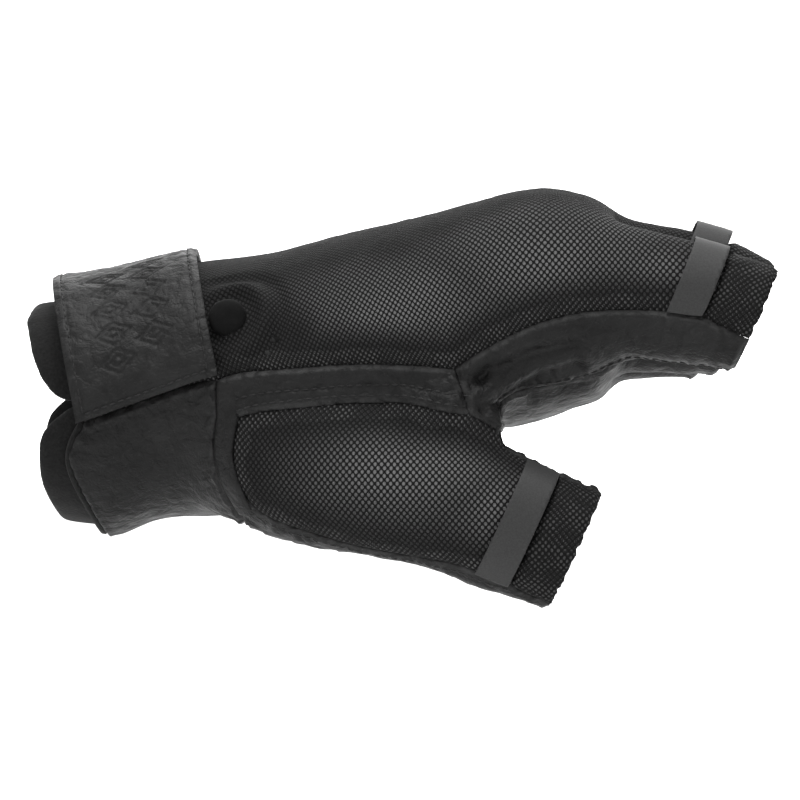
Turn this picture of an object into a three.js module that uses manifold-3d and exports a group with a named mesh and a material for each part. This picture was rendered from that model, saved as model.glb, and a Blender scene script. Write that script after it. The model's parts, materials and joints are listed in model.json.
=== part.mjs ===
// Left-hand sailing glove with cut finger ends, in the pose of a relaxed hand.
// Frame, in millimetres: the origin is the centre of the cuff's mouth, +X runs towards the
// fingers, +Z to the back of the hand, and the thumb is on the -Y side.
import * as THREE from 'three';
import { mergeVertices } from 'three/addons/utils/BufferGeometryUtils.js';
import { LoftGeometry } from 'three/addons/geometries/LoftGeometry.js';
import Module from 'manifold-3d';

const wasm = await Module();
wasm.setup();

// ---- Overall sizes. The pattern below is drawn for the base size and graded to these.
const GLOVE_LENGTH = 175;
const HAND_BREADTH = 88;
const KNUCKLE_HEIGHT = 54;
const BASE_LENGTH = 175;
const BASE_BREADTH = 88;
const BASE_HEIGHT = 54;

// ---- Cloth thicknesses and the clearance between pieces that touch.
const GAP = 0.34;
const PANEL_WALL = 1.9;
const LINING_WALL = 2.8;
const REINFORCEMENT_WALL = 1.2;
const TAPE_WALL = 1.0;
const TAB_WALL = 1.0;
const STRAP_WALL = 1.4;
const LOOP_WALL = 0.8;
const HOOK_WALL = 0.8;
const BINDING_SPREAD = 0.7;

// ---- Widths of the narrow pieces.
const STRAP_WIDTH = 34.2;
const TAB_WIDTH = 8.1;
const FINGER_HEM = 12.4;
const THUMB_HEM = 11;
const BINDING_WIDTH = 1.7;
const SEAM_TAPE_WIDTH = 5.6;
const FOURCHETTE_WIDTH = 13;
const HOOK_TAPE_RISE = 14.4;
const LOOP_PATCH_SPARE = 3;
const BUTTON_DIAMETER = 8.6;
const BUTTON_HEIGHT = 2.6;

// ---- Joints: where the cloth folds, and how far the rigid pieces have to clear each other.
const KNUCKLE_X = 120;
const KNUCKLE_Z = 47;
const KNUCKLE_FLEX = 30;
const KNUCKLE_EXTEND = 20;
const THUMB_FLEX = 25;
const THUMB_EXTEND = 15;
const THUMB_JOINT = [97, -40, -19];
const FOLD_HALF = 1.6;
const FOLD_SPARE = 0.3;

// ---- Extent of the tools that cut the pieces apart.
const REACH = 120;
const HAND_SIDES = 28;
const DIGIT_SIDES = 20;
const FINENESS = 0.12;
const HAND_RINGS = 17;
const DIGIT_RINGS = 8;
const WEB_RINGS = 5;

const COLOURS = {
  mesh: { color: 0x232427, roughness: 0.85 },
  leather: { color: 0x1d1d1e, roughness: 0.6 },
  strap: { color: 0x2b2b2c, roughness: 0.5 },
  neoprene: { color: 0x1a1a1b, roughness: 0.95 },
  webbing: { color: 0x38393c, roughness: 0.7 },
  tape: { color: 0x161617, roughness: 0.9 },
};

const grade = {
  x: GLOVE_LENGTH / BASE_LENGTH,
  y: HAND_BREADTH / BASE_BREADTH,
  z: KNUCKLE_HEIGHT / BASE_HEIGHT,
};
const radians = THREE.MathUtils.degToRad;

// ---- Pattern: stations of the hand from the cuff to the crotch of the fingers.
// Each row is x, centre height, half height, half breadth, tilt, arch and squareness.
const HAND = [
  [-12, 0.2, 26.5, 27.5, 0, 0, 2.1],
  [0, 0.4, 27.6, 28.6, 0, 0, 2.1],
  [12, 0.0, 29.2, 29.5, 0, 0, 2.2],
  [18, 1.0, 29.8, 29.6, 0, 0, 2.2],
  [25.5, 4.2, 28.4, 29.8, 0, 0, 2.2],
  [36, 5.6, 29.6, 32, -0.01, 0, 2.2],
  [45, 6, 29.7, 35, -0.02, -0.5, 2.3],
  [70, 13, 28.7, 40, -0.08, -2, 2.6],
  [95, 21.5, 26, 43, -0.12, -3, 2.9],
  [112, 24.9, 26.6, 44, -0.16, -3.5, 3.2],
  [122, 26.7, 24.3, 44, -0.16, -3.5, 3.2],
  [130, 25.9, 21.3, 43.5, -0.15, -3.2, 3.1],
  [134, 25.4, 20.1, 43.2, -0.15, -3, 3.1],
];
const CROTCH_X = 131.5;

// ---- Pattern: stations of each digit. Each row is x, y, z, half height, half breadth, pitch.
const DIGITS = {
  index: {
    stations: [
      [112, -31, 31, 16.5, 11.5, 8],
      [124, -32.5, 32, 16, 11.2, 12],
      [134, -33.4, 30.3, 15.2, 10.4, 16],
      [148, -34.6, 27.6, 14.6, 10.2, 23],
      [164, -36, 23.9, 12.8, 9.8, 23.5],
      [182, -37.5, 16, 12, 9.6, 23.5],
    ],
    end: [164, 23.9],
    pitch: 23.5,
    hem: FINGER_HEM,
  },
  middle: {
    stations: [
      [112, -11, 28, 21.5, 11.5, 6],
      [124, -11, 29.3, 19.5, 11.2, 12],
      [134, -11, 27.9, 17.6, 10.3, 16],
      [147, -11, 26.2, 18, 10.1, 23],
      [162, -10.8, 22.4, 14.8, 9.7, 28],
      [182, -10.4, 11.6, 13, 9.4, 28],
    ],
    end: [162.5, 22.2],
    pitch: 28,
    hem: FINGER_HEM,
  },
  ring: {
    stations: [
      [112, 11, 24.5, 21, 11.2, 4],
      [124, 11.2, 26, 18.4, 11, 8],
      [134, 11.5, 23.2, 17.2, 10.2, 12],
      [147, 12, 21.6, 15.4, 9.6, 16],
      [157, 12.8, 19.6, 13.4, 9.6, 20],
      [174, 13.6, 13.6, 12, 9.3, 20],
    ],
    end: [156.5, 19.8],
    pitch: 20,
    hem: FINGER_HEM,
  },
  little: {
    stations: [
      [110, 30.6, 19, 18.5, 10.4, 2],
      [122, 31.4, 20.3, 15.5, 10, 4],
      [133, 32.2, 20.6, 12.4, 9.4, 6],
      [143, 34, 20, 11, 8.8, 8],
      [152, 35, 18.8, 10.4, 8.6, 8],
      [166, 36.4, 16.9, 10, 8.4, 8],
    ],
    end: [147, 19.5],
    pitch: 8,
    hem: 7.5,
  },
};
const THUMB = {
  stations: [
    [26, -6, -1, 15, 15, 8],
    [40, -16, -3.5, 18, 17, 12],
    [62, -28, -9.5, 19.5, 18, 15],
    [85, -37, -15, 17, 15.5, 20],
    [103, -41.6, -20.7, 15.8, 13.2, 23],
    [111.5, -43.3, -25, 15.6, 11.6, 25],
    [122.3, -45.4, -28.3, 14.8, 10.2, 25],
    [142, -49, -37.4, 14, 9.6, 25],
  ],
  end: [122.3, -28.3],
  pitch: 25,
  hem: THUMB_HEM,
};
// The skin between thumb and index finger, upright and thin.
const WEB = [
  [62, -19, 2, 9, 7, 0],
  [76, -27.5, 1.8, 15, 11, 0],
  [88, -34, 1, 16, 12.4, 0],
  [99, -37.6, 0.6, 12, 9, 0],
  [105.6, -38.6, -0.6, 7, 5, 0],
];

// ---- Pattern: seam lines in side view, as x, z.
const NEAR_SEAM = [
  [-14, -8.5], [6.9, -0.85], [39.4, 11], [44.8, 11.7], [60, 13.3], [77.7, 14.3], [94, 13.3],
  [98.6, 16.3], [112.9, 23.9], [124.6, 26.7], [142.1, 26.9], [153.8, 23.9], [163, 19], [185, 6],
];
const FAR_SEAM = [
  [-14, -8.5], [6.9, -0.85], [39.4, 5], [70, 7], [95, 10], [112, 14], [125, 17], [140, 19.5], [185, 17],
];
const BRIDGE_SEAM = [[36, 1], [44.8, 2], [54.4, 3.2], [68.5, 4.6], [82.5, 5.3], [98.2, 2.2]];
const BRIDGE_END = [[94, 14.5], [96, 8], [98.2, 2.2]];
const WEB_SEAM = [[98.2, 2.2], [102, 0.4], [108, -2.6], [150, -2.6]];
const THUMB_SIDE_SEAM = [
  [44.8, 4], [43, -3.7], [42.5, -11.7], [47.1, -20], [52.9, -23], [71.7, -28.3], [95.2, -31.7],
  [106.2, -36.6], [116.5, -41], [140, -51],
];
const CUFF_SEAM = [[39.6, 12], [38.6, 4], [38.2, -8], [41, -16], [45.5, -22.5], [52, -36]];
const CUFF_EDGE = [
  [8.4, 0.4], [8.4, -1.1], [4.8, -5.5], [4.4, -9.5], [6.8, -15.6], [10.2, -22.3], [13.6, -29.6], [16, -36],
];
const BACK_EDGE = [[-4.3, 60], [2.6, 31], [8.4, 0.4]];
const UPPER_LOBE = [[-3.6, 40], [-1.6, 27.6], [-5.7, 21.8], [-4, 14.5], [-1.8, 9], [1.4, 5.3], [4.9, 3.6]];
const LOWER_LOBE = [
  [4.9, 3], [0.6, -0.4], [-1.9, -3.4], [-2.6, -8.5], [-1.9, -15.7], [2.5, -25], [6.6, -31], [8, -36],
];
const LINING_END = [[36, 50], [33, 12], [33, -6], [39, -24], [42, -40]];
const GUSSET_SHIFT = 10;
const GUSSET_ROOT = 100;
const GUSSET_LAP = 0.05;
const FOURCHETTES = {
  index_middle: { from: 'index', to: 'middle', line: [[127, 31], [140, 28.5], [150, 26], [175, 16]] },
  middle_ring: { from: 'middle', to: 'ring', line: [[127, 28], [140, 26.6], [150, 24.5], [175, 15.5]] },
  ring_little: { from: 'ring', to: 'little', line: [[127, 23], [140, 22], [150, 21], [175, 17]] },
};
// ---- Pattern: lines seen from above, as x, y.
const THUMB_MIDDLE = [
  [-20, 0], [30, -8], [40, -16], [62, -28], [85, -37], [103, -41.6], [122.3, -45.4], [150, -50.5],
];
const THUMB_ROOT = [[30, 6], [44, -8], [60, -13], [80, -18], [100, -20], [150, -20]];
const INDEX_UNDERSIDE = [[80, -36.5], [104, -37.5], [118, -35.5], [134, -34], [163, -35], [185, -36]];

const STRAP_LOW = [6.9, -0.85];
const STRAP_SEAM_SLOPE = 20;
const STRAP_LEAN = 11.2;
const STRAP_END_Z = 15;
const STRAP_RUN = 80;
const BUTTON_UP_STRAP = 11.75;
const BUTTON_CLEARANCE = 0.5;
const LOOP_PATCH_X = [6, 34];
const PALM_PATCH = [[50, -40], [50, 10], [58, 24], [80, 32], [112, 34], [112, -40]];

const PALM_PATCH_TOP = 6;
// How far in, as y, each seam on the thumb's side reaches, and where the stalls stand apart.
const BRIDGE_DEPTH = -8;
const WEB_DEPTH = -18;
const BRIDGE_END_DEPTH = -20;
const WEB_Z = -2.6;
const THUMB_ROOT_TOP = 2;
const UNDERSIDE_TOP = 27;
const STALLS_X = 126;
const OUTER_SEAMS_Y = [-36, 34];
const TAPE_TOP = 9.5;
const TAPE_BOTTOM = -22;
const LANE_X = [90, 124, 134, 147, 160, 200];
const THUMB_LANE_X = 88;
const SLIT = [[4.9, 3.3], [39.4, 14], [60, 20]];
const SLIT_WIDTH = 0.6;
const BUTTON_SINK = 0.8;
const BUTTON_SIDES = 16;
const FAR_X = 210;
const FAR_SIDE = 90;
const EDGE = 1;

// ---- Small tools.
const flat = (points) => points.map(([x, z]) => new THREE.Vector2(x * grade.x, z * grade.z));
const plan = (points) => points.map(([x, y]) => new THREE.Vector2(x * grade.x, y * grade.y));

function solidOf(geometry) {
  const plain = new THREE.BufferGeometry().copy(geometry);
  plain.deleteAttribute('normal');
  plain.deleteAttribute('uv');
  const merged = mergeVertices(plain, 1e-4);
  const index = Array.from(merged.index.array);
  const triangles = [];
  for (let i = 0; i < index.length; i += 3) {
    const [a, b, c] = index.slice(i, i + 3);
    if (a !== b && b !== c && c !== a) triangles.push(a, b, c);
  }
  return new wasm.Manifold(new wasm.Mesh({
    numProp: 3,
    vertProperties: new Float32Array(merged.attributes.position.array),
    triVerts: new Uint32Array(triangles),
  }));
}

function geometryOf(solid) {
  const mesh = solid.getMesh();
  const geometry = new THREE.BufferGeometry();
  geometry.setAttribute('position', new THREE.BufferAttribute(new Float32Array(mesh.vertProperties), 3));
  geometry.setIndex(new THREE.BufferAttribute(new Uint32Array(mesh.triVerts), 1));
  const split = geometry.toNonIndexed();
  split.computeVertexNormals();
  return split;
}

// The largest connected body of a solid; the cuts leave only crumbs beside it.
function mainBody(solid) {
  return solid.decompose().sort((a, b) => b.volume() - a.volume())[0];
}

const joined = (solids) => solids.reduce((sum, next) => sum.add(next));

// An outline in side view, carried across the glove from yNear to yFar.
function prism(points, yNear = -REACH, yFar = REACH) {
  const geometry = new THREE.ExtrudeGeometry(new THREE.Shape(points), {
    depth: yFar - yNear, bevelEnabled: false,
  });
  return solidOf(geometry.rotateX(Math.PI / 2).translate(0, yFar, 0));
}

// An outline seen from above, carried from zLow to zHigh.
function column(points, zLow = -REACH, zHigh = REACH) {
  const geometry = new THREE.ExtrudeGeometry(new THREE.Shape(points), {
    depth: zHigh - zLow, bevelEnabled: false,
  });
  return solidOf(geometry.translate(0, 0, zLow));
}

// A thin ribbon's outline along a line, half of it on each side.
function ribbon(line, width = GAP) {
  const sides = line.map((point, i) => {
    const before = line[Math.max(i - 1, 0)];
    const after = line[Math.min(i + 1, line.length - 1)];
    const way = after.clone().sub(before).normalize();
    return new THREE.Vector2(-way.y, way.x).multiplyScalar(width / 2);
  });
  const left = line.map((point, i) => point.clone().add(sides[i]));
  const right = line.map((point, i) => point.clone().sub(sides[i]));
  return [...left, ...right.reverse()];
}

const sideBlade = (line, yNear, yFar) => prism(ribbon(line), yNear, yFar);
const planBlade = (line, zLow, zHigh) => column(ribbon(line), zLow, zHigh);

function above(line) {
  const last = line[line.length - 1];
  return [...line, new THREE.Vector2(last.x, REACH), new THREE.Vector2(line[0].x, REACH)];
}

// The side towards the fingers of a line that runs downwards, carried on straight up and down.
function rightOf(line) {
  const last = line[line.length - 1];
  return [
    new THREE.Vector2(line[0].x, REACH), ...line, new THREE.Vector2(last.x, -REACH),
    new THREE.Vector2(2 * REACH, -REACH), new THREE.Vector2(2 * REACH, REACH),
  ];
}

// ---- Forms: the outer surface of the hand and of each digit, grown by `grow`.
function curveThrough(rows) {
  const places = rows.map((row) => row[0]);
  const values = rows.flatMap((row) => row.slice(1));
  const curve = new THREE.CubicInterpolant(places, values, rows[0].length - 1);
  return (x) => [x, ...curve.evaluate(x)];
}

function smoothed(rows, count) {
  const at = curveThrough(rows);
  const first = rows[0][0];
  const span = rows[rows.length - 1][0] - first;
  return Array.from({ length: count }, (_, i) => at(first + (span * i) / (count - 1)));
}

function handForm(grow, stop = CROTCH_X) {
  const rows = smoothed(HAND, HAND_RINGS).filter((row) => row[0] < stop - EDGE);
  rows.push(curveThrough(HAND)(stop));
  const sections = rows.map(([x, middle, high, wide, tilt, arch, square]) => {
    const breadth = wide * grade.y + grow;
    const height = high * grade.z + grow;
    return Array.from({ length: HAND_SIDES }, (_, i) => {
      const turn = (i / HAND_SIDES) * 2 * Math.PI;
      const across = Math.sign(Math.cos(turn)) * Math.abs(Math.cos(turn)) ** (2 / square);
      const up = Math.sign(Math.sin(turn)) * Math.abs(Math.sin(turn)) ** (2 / square);
      const y = across * breadth;
      const lift = (middle + tilt * across * wide + arch * across * across) * grade.z;
      return new THREE.Vector3(x * grade.x, y, lift + up * height);
    });
  });
  return solidOf(new LoftGeometry(sections, { capStart: true, capEnd: true }));
}

function digitForm(stations, grow, count = DIGIT_RINGS) {
  const rows = smoothed(stations, count);
  const sections = rows.map(([x, y, z, high, wide, pitch]) => {
    const lean = radians(pitch);
    const centre = new THREE.Vector3(x * grade.x, y * grade.y, z * grade.z);
    const up = new THREE.Vector3(Math.sin(lean), 0, Math.cos(lean));
    return Array.from({ length: DIGIT_SIDES }, (_, i) => {
      const turn = (i / DIGIT_SIDES) * 2 * Math.PI;
      const point = centre.clone().addScaledVector(up, Math.sin(turn) * (high * grade.z + grow));
      point.y += Math.cos(turn) * (wide * grade.y + grow);
      return point;
    });
  });
  return solidOf(new LoftGeometry(sections, { capStart: true, capEnd: true }));
}

const fingerNames = Object.keys(DIGITS);

function gloveForm(grow, stop) {
  const digits = fingerNames.map((name) => digitForm(DIGITS[name].stations, grow));
  const thumb = digitForm(THUMB.stations, grow);
  return joined([handForm(grow, stop), ...digits, thumb, digitForm(WEB, grow, WEB_RINGS)]);
}

// ---- Planes across a digit: everything past a plane that lies `distance` back from its end.
function beyond(digit, distance) {
  const lean = radians(digit.pitch);
  const way = new THREE.Vector2(Math.cos(lean), -Math.sin(lean));
  const side = new THREE.Vector2(Math.sin(lean), Math.cos(lean));
  const end = new THREE.Vector2(digit.end[0] * grade.x, digit.end[1] * grade.z);
  const foot = end.clone().addScaledVector(way, -distance);
  const a = foot.clone().addScaledVector(side, REACH);
  const b = foot.clone().addScaledVector(side, -REACH);
  return [a, a.clone().addScaledVector(way, REACH), b.clone().addScaledVector(way, REACH), b];
}

function acrossDigit(digit, from, to) {
  return prism(beyond(digit, to)).subtract(prism(beyond(digit, from)));
}

// What lies beyond a fold line that leans away by `under` degrees below it and `over` above it.
function foldWedge(under, over) {
  return [
    new THREE.Vector2(FOLD_HALF + REACH * Math.tan(radians(under)), -REACH),
    new THREE.Vector2(2 * REACH, -REACH),
    new THREE.Vector2(2 * REACH, REACH),
    new THREE.Vector2(FOLD_HALF + REACH * Math.tan(radians(over)), REACH),
    new THREE.Vector2(FOLD_HALF, 0),
  ];
}

const mirrored = (points) => points.map((p) => new THREE.Vector2(-p.x, p.y));
const moved = (points, x, z) => points.map((p) => new THREE.Vector2(p.x + x, p.y + z));

// ---- Pieces.
const glove = new THREE.Group();

function add(name, solid, colour) {
  const body = mainBody(solid.simplify(FINENESS));
  const mesh = new THREE.Mesh(geometryOf(body), new THREE.MeshStandardMaterial(COLOURS[colour]));
  mesh.name = name;
  glove.add(mesh);
}

const nearSeam = flat(NEAR_SEAM);
const farSeam = flat(FAR_SEAM);

const outer = gloveForm(0, CROTCH_X);
const inner = gloveForm(-PANEL_WALL, CROTCH_X - PANEL_WALL);
const mouth = prism(rightOf(flat([...BACK_EDGE, ...CUFF_EDGE.slice(1)])));
const shell = outer.subtract(inner).intersect(mouth);

// ---- Folds. The knuckles hinge about a line along Y, the thumb about a line up its own width.
const knuckle = [KNUCKLE_X * grade.x, KNUCKLE_Z * grade.z];
const knuckleWedge = foldWedge(KNUCKLE_FLEX / 2 + FOLD_SPARE, KNUCKLE_EXTEND / 2 + FOLD_SPARE);
const fingerSide = prism(moved(knuckleWedge, ...knuckle));
const handSide = prism(moved(mirrored(knuckleWedge), ...knuckle));

// An outline across the thumb's own length and breadth, at its joint.
function thumbFrame(points) {
  const geometry = new THREE.ExtrudeGeometry(new THREE.Shape(points), {
    depth: 2 * REACH, bevelEnabled: false,
  });
  geometry.translate(0, 0, -REACH).rotateY(radians(THUMB.pitch));
  const [x, y, z] = THUMB_JOINT;
  return solidOf(geometry.translate(x * grade.x, y * grade.y, z * grade.z));
}
const thumbWedge = foldWedge(THUMB_EXTEND / 2 + FOLD_SPARE, THUMB_FLEX / 2 + FOLD_SPARE);
const tipSide = thumbFrame(thumbWedge);
const rootSide = thumbFrame(mirrored(thumbWedge));

// The part of a panel that folds: between the two sides, with a gap to each.
function folding(panel, before, after) {
  return panel.subtract(before.translate(GAP, 0, 0)).subtract(after.translate(-GAP, 0, 0));
}

// ---- Seams: every cut between two panels, as thin blades through the shell.
const bridgeSeam = flat(BRIDGE_SEAM);
const webSeam = flat(WEB_SEAM);
const thumbTop = [...bridgeSeam, ...webSeam.slice(1)];
const thumbSideSeam = flat(THUMB_SIDE_SEAM);
const cuffSeam = flat(CUFF_SEAM);
const bridgeEnd = flat(BRIDGE_END);
const thumbMiddle = plan(THUMB_MIDDLE);
const thumbRoot = plan(THUMB_ROOT);
const indexUnderside = plan(INDEX_UNDERSIDE);

function nearOf(line) {
  const last = line[line.length - 1];
  return [...line, new THREE.Vector2(last.x, -REACH), new THREE.Vector2(line[0].x, -REACH)];
}
const nearOfThumbMiddle = column(nearOf(thumbMiddle));
const nearOfThumbRoot = column(nearOf(thumbRoot));
const nearOfUnderside = column(nearOf(indexUnderside));
const aboveThumbTop = prism(above(thumbTop));
const aboveThumbSide = prism([
  ...thumbSideSeam, new THREE.Vector2(REACH * 2, REACH), new THREE.Vector2(thumbSideSeam[0].x, REACH),
]);
const afterCuff = prism(rightOf(cuffSeam));
const afterBridge = prism(rightOf(bridgeEnd));

// The lane of one finger, seen from above, between the middles of the gaps beside it.
const laneEdges = [plan(LANE_X.map((x) => [x, -REACH]))];
fingerNames.slice(1).forEach((name, i) => {
  const before = DIGITS[fingerNames[i]].stations;
  const middles = DIGITS[name].stations.map((row, k) => [LANE_X[k], (row[1] + before[k][1]) / 2]);
  laneEdges.push(plan(middles));
});
laneEdges.push(plan(LANE_X.map((x) => [x, REACH])));
const lanes = Object.fromEntries(fingerNames.map((name, i) => [
  name, column([...laneEdges[i], ...[...laneEdges[i + 1]].reverse()]),
]));
const rectangle = ([left, right], [low, high]) => flat([
  [left, low], [right, low], [right, high], [left, high],
]);
const thumbLane = prism(rectangle([THUMB_LANE_X, FAR_X], [-FAR_SIDE, WEB_Z]));
const stallZone = prism(rectangle([STALLS_X, FAR_X], [-FAR_SIDE, FAR_SIDE]));

const seamsOfHand = joined([
  sideBlade(nearSeam, -REACH, 0),
  sideBlade(farSeam, 0, REACH),
]).subtract(stallZone.intersect(column(plan([
  [0, OUTER_SEAMS_Y[0]], [FAR_X, OUTER_SEAMS_Y[0]], [FAR_X, OUTER_SEAMS_Y[1]], [0, OUTER_SEAMS_Y[1]],
]))));
const cuts = joined([
  seamsOfHand,
  sideBlade(cuffSeam, -REACH, REACH).subtract(prism(above(nearSeam), -REACH, 0))
    .subtract(prism(above(farSeam), 0, REACH)),
  sideBlade(bridgeSeam, -REACH, BRIDGE_DEPTH),
  sideBlade(webSeam, -REACH, WEB_DEPTH),
  sideBlade(bridgeEnd, -REACH, BRIDGE_END_DEPTH),
  sideBlade(thumbSideSeam, -REACH, REACH).intersect(nearOfThumbMiddle),
  planBlade(thumbMiddle, -REACH, WEB_Z).intersect(aboveThumbSide),
  planBlade(thumbRoot, -REACH, THUMB_ROOT_TOP),
  planBlade(indexUnderside, WEB_Z, UNDERSIDE_TOP).intersect(afterBridge),
]);

const foursome = Object.entries(FOURCHETTES).map(([name, { from, to, line }]) => {
  const middle = flat(line);
  const strip = (spread) => column([
    ...plan(DIGITS[from].stations.map((row) => [row[0] + GUSSET_SHIFT, row[1] - spread])),
    ...plan(DIGITS[to].stations.map((row) => [row[0] + GUSSET_SHIFT, row[1] + spread])).reverse(),
  ]);
  const between = strip(0);
  const reached = [new THREE.Vector2(GUSSET_ROOT * grade.x, middle[0].y), ...middle];
  const band = prism(ribbon(middle, FOURCHETTE_WIDTH)).intersect(between);
  const wider = prism(ribbon([middle[0].clone().setX(middle[0].x - GAP), ...middle.slice(1)],
    FOURCHETTE_WIDTH + 2 * GAP)).intersect(between);
  return { name, between, band, wider, over: prism(above(reached)).intersect(strip(GUSSET_LAP)) };
});
const gussets = joined(foursome.map((f) => f.wider));

// Everything on the back of the glove: over the near seam, the gussets and the far seam.
const backOfHand = prism(above(nearSeam), -REACH, 0).add(prism(above(farSeam), 0, REACH));
const betweens = joined(foursome.map((f) => f.between)).intersect(stallZone);
const gussetTops = joined(foursome.map((f) => f.over)).intersect(stallZone);
const backOfGlove = backOfHand.subtract(betweens).add(gussetTops);

const sewn = shell.subtract(cuts);
const ends = joined([
  ...fingerNames.map((name) => prism(beyond(DIGITS[name], 0)).intersect(lanes[name])),
  prism(beyond(THUMB, 0)).intersect(thumbLane),
]);
const hems = joined(fingerNames.map(
  (name) => prism(beyond(DIGITS[name], DIGITS[name].hem)).intersect(lanes[name]),
));

// ---- Hand.
const handShell = sewn.intersect(handSide);
const thumbZone = afterCuff.intersect(nearOfThumbRoot).subtract(aboveThumbTop);
const thumbShell = sewn.intersect(thumbZone).subtract(ends);
const thumbMesh = thumbShell.intersect(nearOfThumbMiddle).intersect(aboveThumbSide);
const thumbLeather = thumbShell.subtract(nearOfThumbMiddle.intersect(aboveThumbSide));
const bridgeZone = afterCuff.subtract(afterBridge).intersect(prism(above(thumbTop), -REACH, BRIDGE_DEPTH));
const indexZone = afterBridge.intersect(nearOfUnderside).intersect(aboveThumbTop);
const nearBelow = handShell.subtract(backOfHand);

add('back_panel', handShell.intersect(backOfHand), 'mesh');
add('cuff_leather', nearBelow.subtract(afterCuff), 'leather');
add('thumb_bridge_strip', nearBelow.intersect(bridgeZone), 'leather');
add('index_side_base', nearBelow.intersect(indexZone), 'leather');
add('palm_panel', nearBelow.intersect(afterCuff).subtract(thumbZone).subtract(bridgeZone)
  .subtract(indexZone), 'leather');
const thumbTip = thumbLeather.intersect(tipSide);
const thumbHemZone = acrossDigit(THUMB, 0, THUMB.hem - GAP).intersect(thumbLane);
add('thumb_end_front', thumbTip, 'leather');
add('thumb_end_back', thumbMesh.intersect(tipSide).subtract(prism(beyond(THUMB, THUMB.hem))), 'mesh');
add('thumb_hem', thumbMesh.intersect(tipSide).intersect(thumbHemZone), 'tape');
add('thumb_back_panel', thumbMesh.intersect(rootSide), 'mesh');
add('thumb_front_panel', thumbLeather.intersect(rootSide), 'leather');
add('thumb_fold_back', folding(thumbMesh, rootSide, tipSide), 'mesh');
add('thumb_fold_front', folding(thumbLeather, rootSide, tipSide), 'leather');
const knuckleFold = folding(sewn, handSide, fingerSide).subtract(gussets).subtract(thumbZone);
add('knuckle_fold_back', knuckleFold.intersect(backOfHand), 'mesh');
const foldBelow = knuckleFold.subtract(backOfHand);
const sideOfIndex = afterBridge.intersect(nearOfUnderside);
add('index_side_fold', foldBelow.intersect(sideOfIndex), 'leather');
add('knuckle_fold_front', foldBelow.subtract(sideOfIndex), 'leather');

// ---- Fingers.
const fingerShell = sewn.intersect(fingerSide).subtract(ends).subtract(thumbZone);
const stalls = fingerShell.subtract(gussets);
const indexSide = sideOfIndex.subtract(backOfGlove);
add('finger_back_panel', stalls.intersect(backOfGlove).subtract(hems), 'mesh');
add('index_side_panel', stalls.intersect(indexSide), 'leather');
add('finger_front_panel', stalls.subtract(backOfGlove).subtract(indexSide), 'leather');
foursome.forEach(({ name, band }) => add(`fourchette_${name}`, fingerShell.intersect(band), 'leather'));
fingerNames.forEach((name) => {
  const digit = DIGITS[name];
  const hemZone = acrossDigit(digit, 0, digit.hem - GAP).intersect(lanes[name]);
  add(`${name}_hem`, stalls.intersect(hemZone).intersect(backOfGlove), 'tape');
});

// ---- Overlays: what lies on the outside of the panels.
function layer(form, from, to) {
  return form(to).subtract(form(from));
}
const clearOfGlove = gloveForm(GAP, CROTCH_X);
function tab(digit, zone) {
  const band = acrossDigit(digit, digit.hem, digit.hem + TAB_WIDTH);
  const ribbonLayer = layer((grow) => digitForm(digit.stations, grow), GAP, GAP + TAB_WALL);
  return ribbonLayer.intersect(band).intersect(zone).subtract(clearOfGlove);
}
fingerNames.forEach((name) => {
  add(`${name}_tab`, tab(DIGITS[name], backOfGlove.intersect(lanes[name])), 'webbing');
});
add('thumb_tab', tab(THUMB, nearOfThumbMiddle.intersect(aboveThumbSide)), 'webbing');

const tapeEnd = cuffSeam.map((point) => point.clone().setX(point.x + SEAM_TAPE_WIDTH));
const tapeZone = prism(rightOf(cuffSeam)).subtract(prism(rightOf(tapeEnd)))
  .intersect(prism(rectangle([0, FAR_X], [TAPE_BOTTOM, TAPE_TOP]), -REACH, BRIDGE_DEPTH));
add('cuff_seam_tape', layer(gloveForm, GAP, GAP + TAPE_WALL).intersect(tapeZone), 'leather');

const patchZone = column(plan(PALM_PATCH), -REACH, PALM_PATCH_TOP).intersect(handSide)
  .subtract(nearOfThumbRoot).subtract(prism(above(farSeam)));
add('palm_reinforcement', layer(gloveForm, GAP, GAP + REINFORCEMENT_WALL).intersect(patchZone), 'leather');

// ---- Cuff lining: an upper and a lower lobe of soft rubber cloth inside the cuff.
const lining = layer(handForm, -PANEL_WALL - GAP - LINING_WALL, -PANEL_WALL - GAP)
  .subtract(prism(rightOf(flat(LINING_END))));
const upperLobe = flat(UPPER_LOBE);
const lowerLobe = flat(LOWER_LOBE);
const slit = flat(SLIT);
const slitBlade = prism(ribbon(slit, SLIT_WIDTH));
const overSlit = prism(above([new THREE.Vector2(-REACH, slit[0].y), ...slit]));
const lobes = lining.intersect(prism(rightOf([...upperLobe, ...lowerLobe]))).subtract(slitBlade);
add('cuff_lining_back', lobes.intersect(overSlit), 'neoprene');
add('cuff_lining_palm', lobes.subtract(overSlit), 'neoprene');

const cuffEdge = flat(CUFF_EDGE.slice(1));
const bindingZone = prism(rightOf(cuffEdge.map((p) => p.clone().setX(p.x - BINDING_WIDTH - GAP))))
  .subtract(prism(rightOf(cuffEdge.map((p) => p.clone().setX(p.x - GAP)))));
add('cuff_binding', layer(handForm, -PANEL_WALL, BINDING_SPREAD).intersect(bindingZone)
  .subtract(prism(above(nearSeam), -REACH, 0)).subtract(prism(above(farSeam), 0, REACH)), 'tape');

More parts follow.
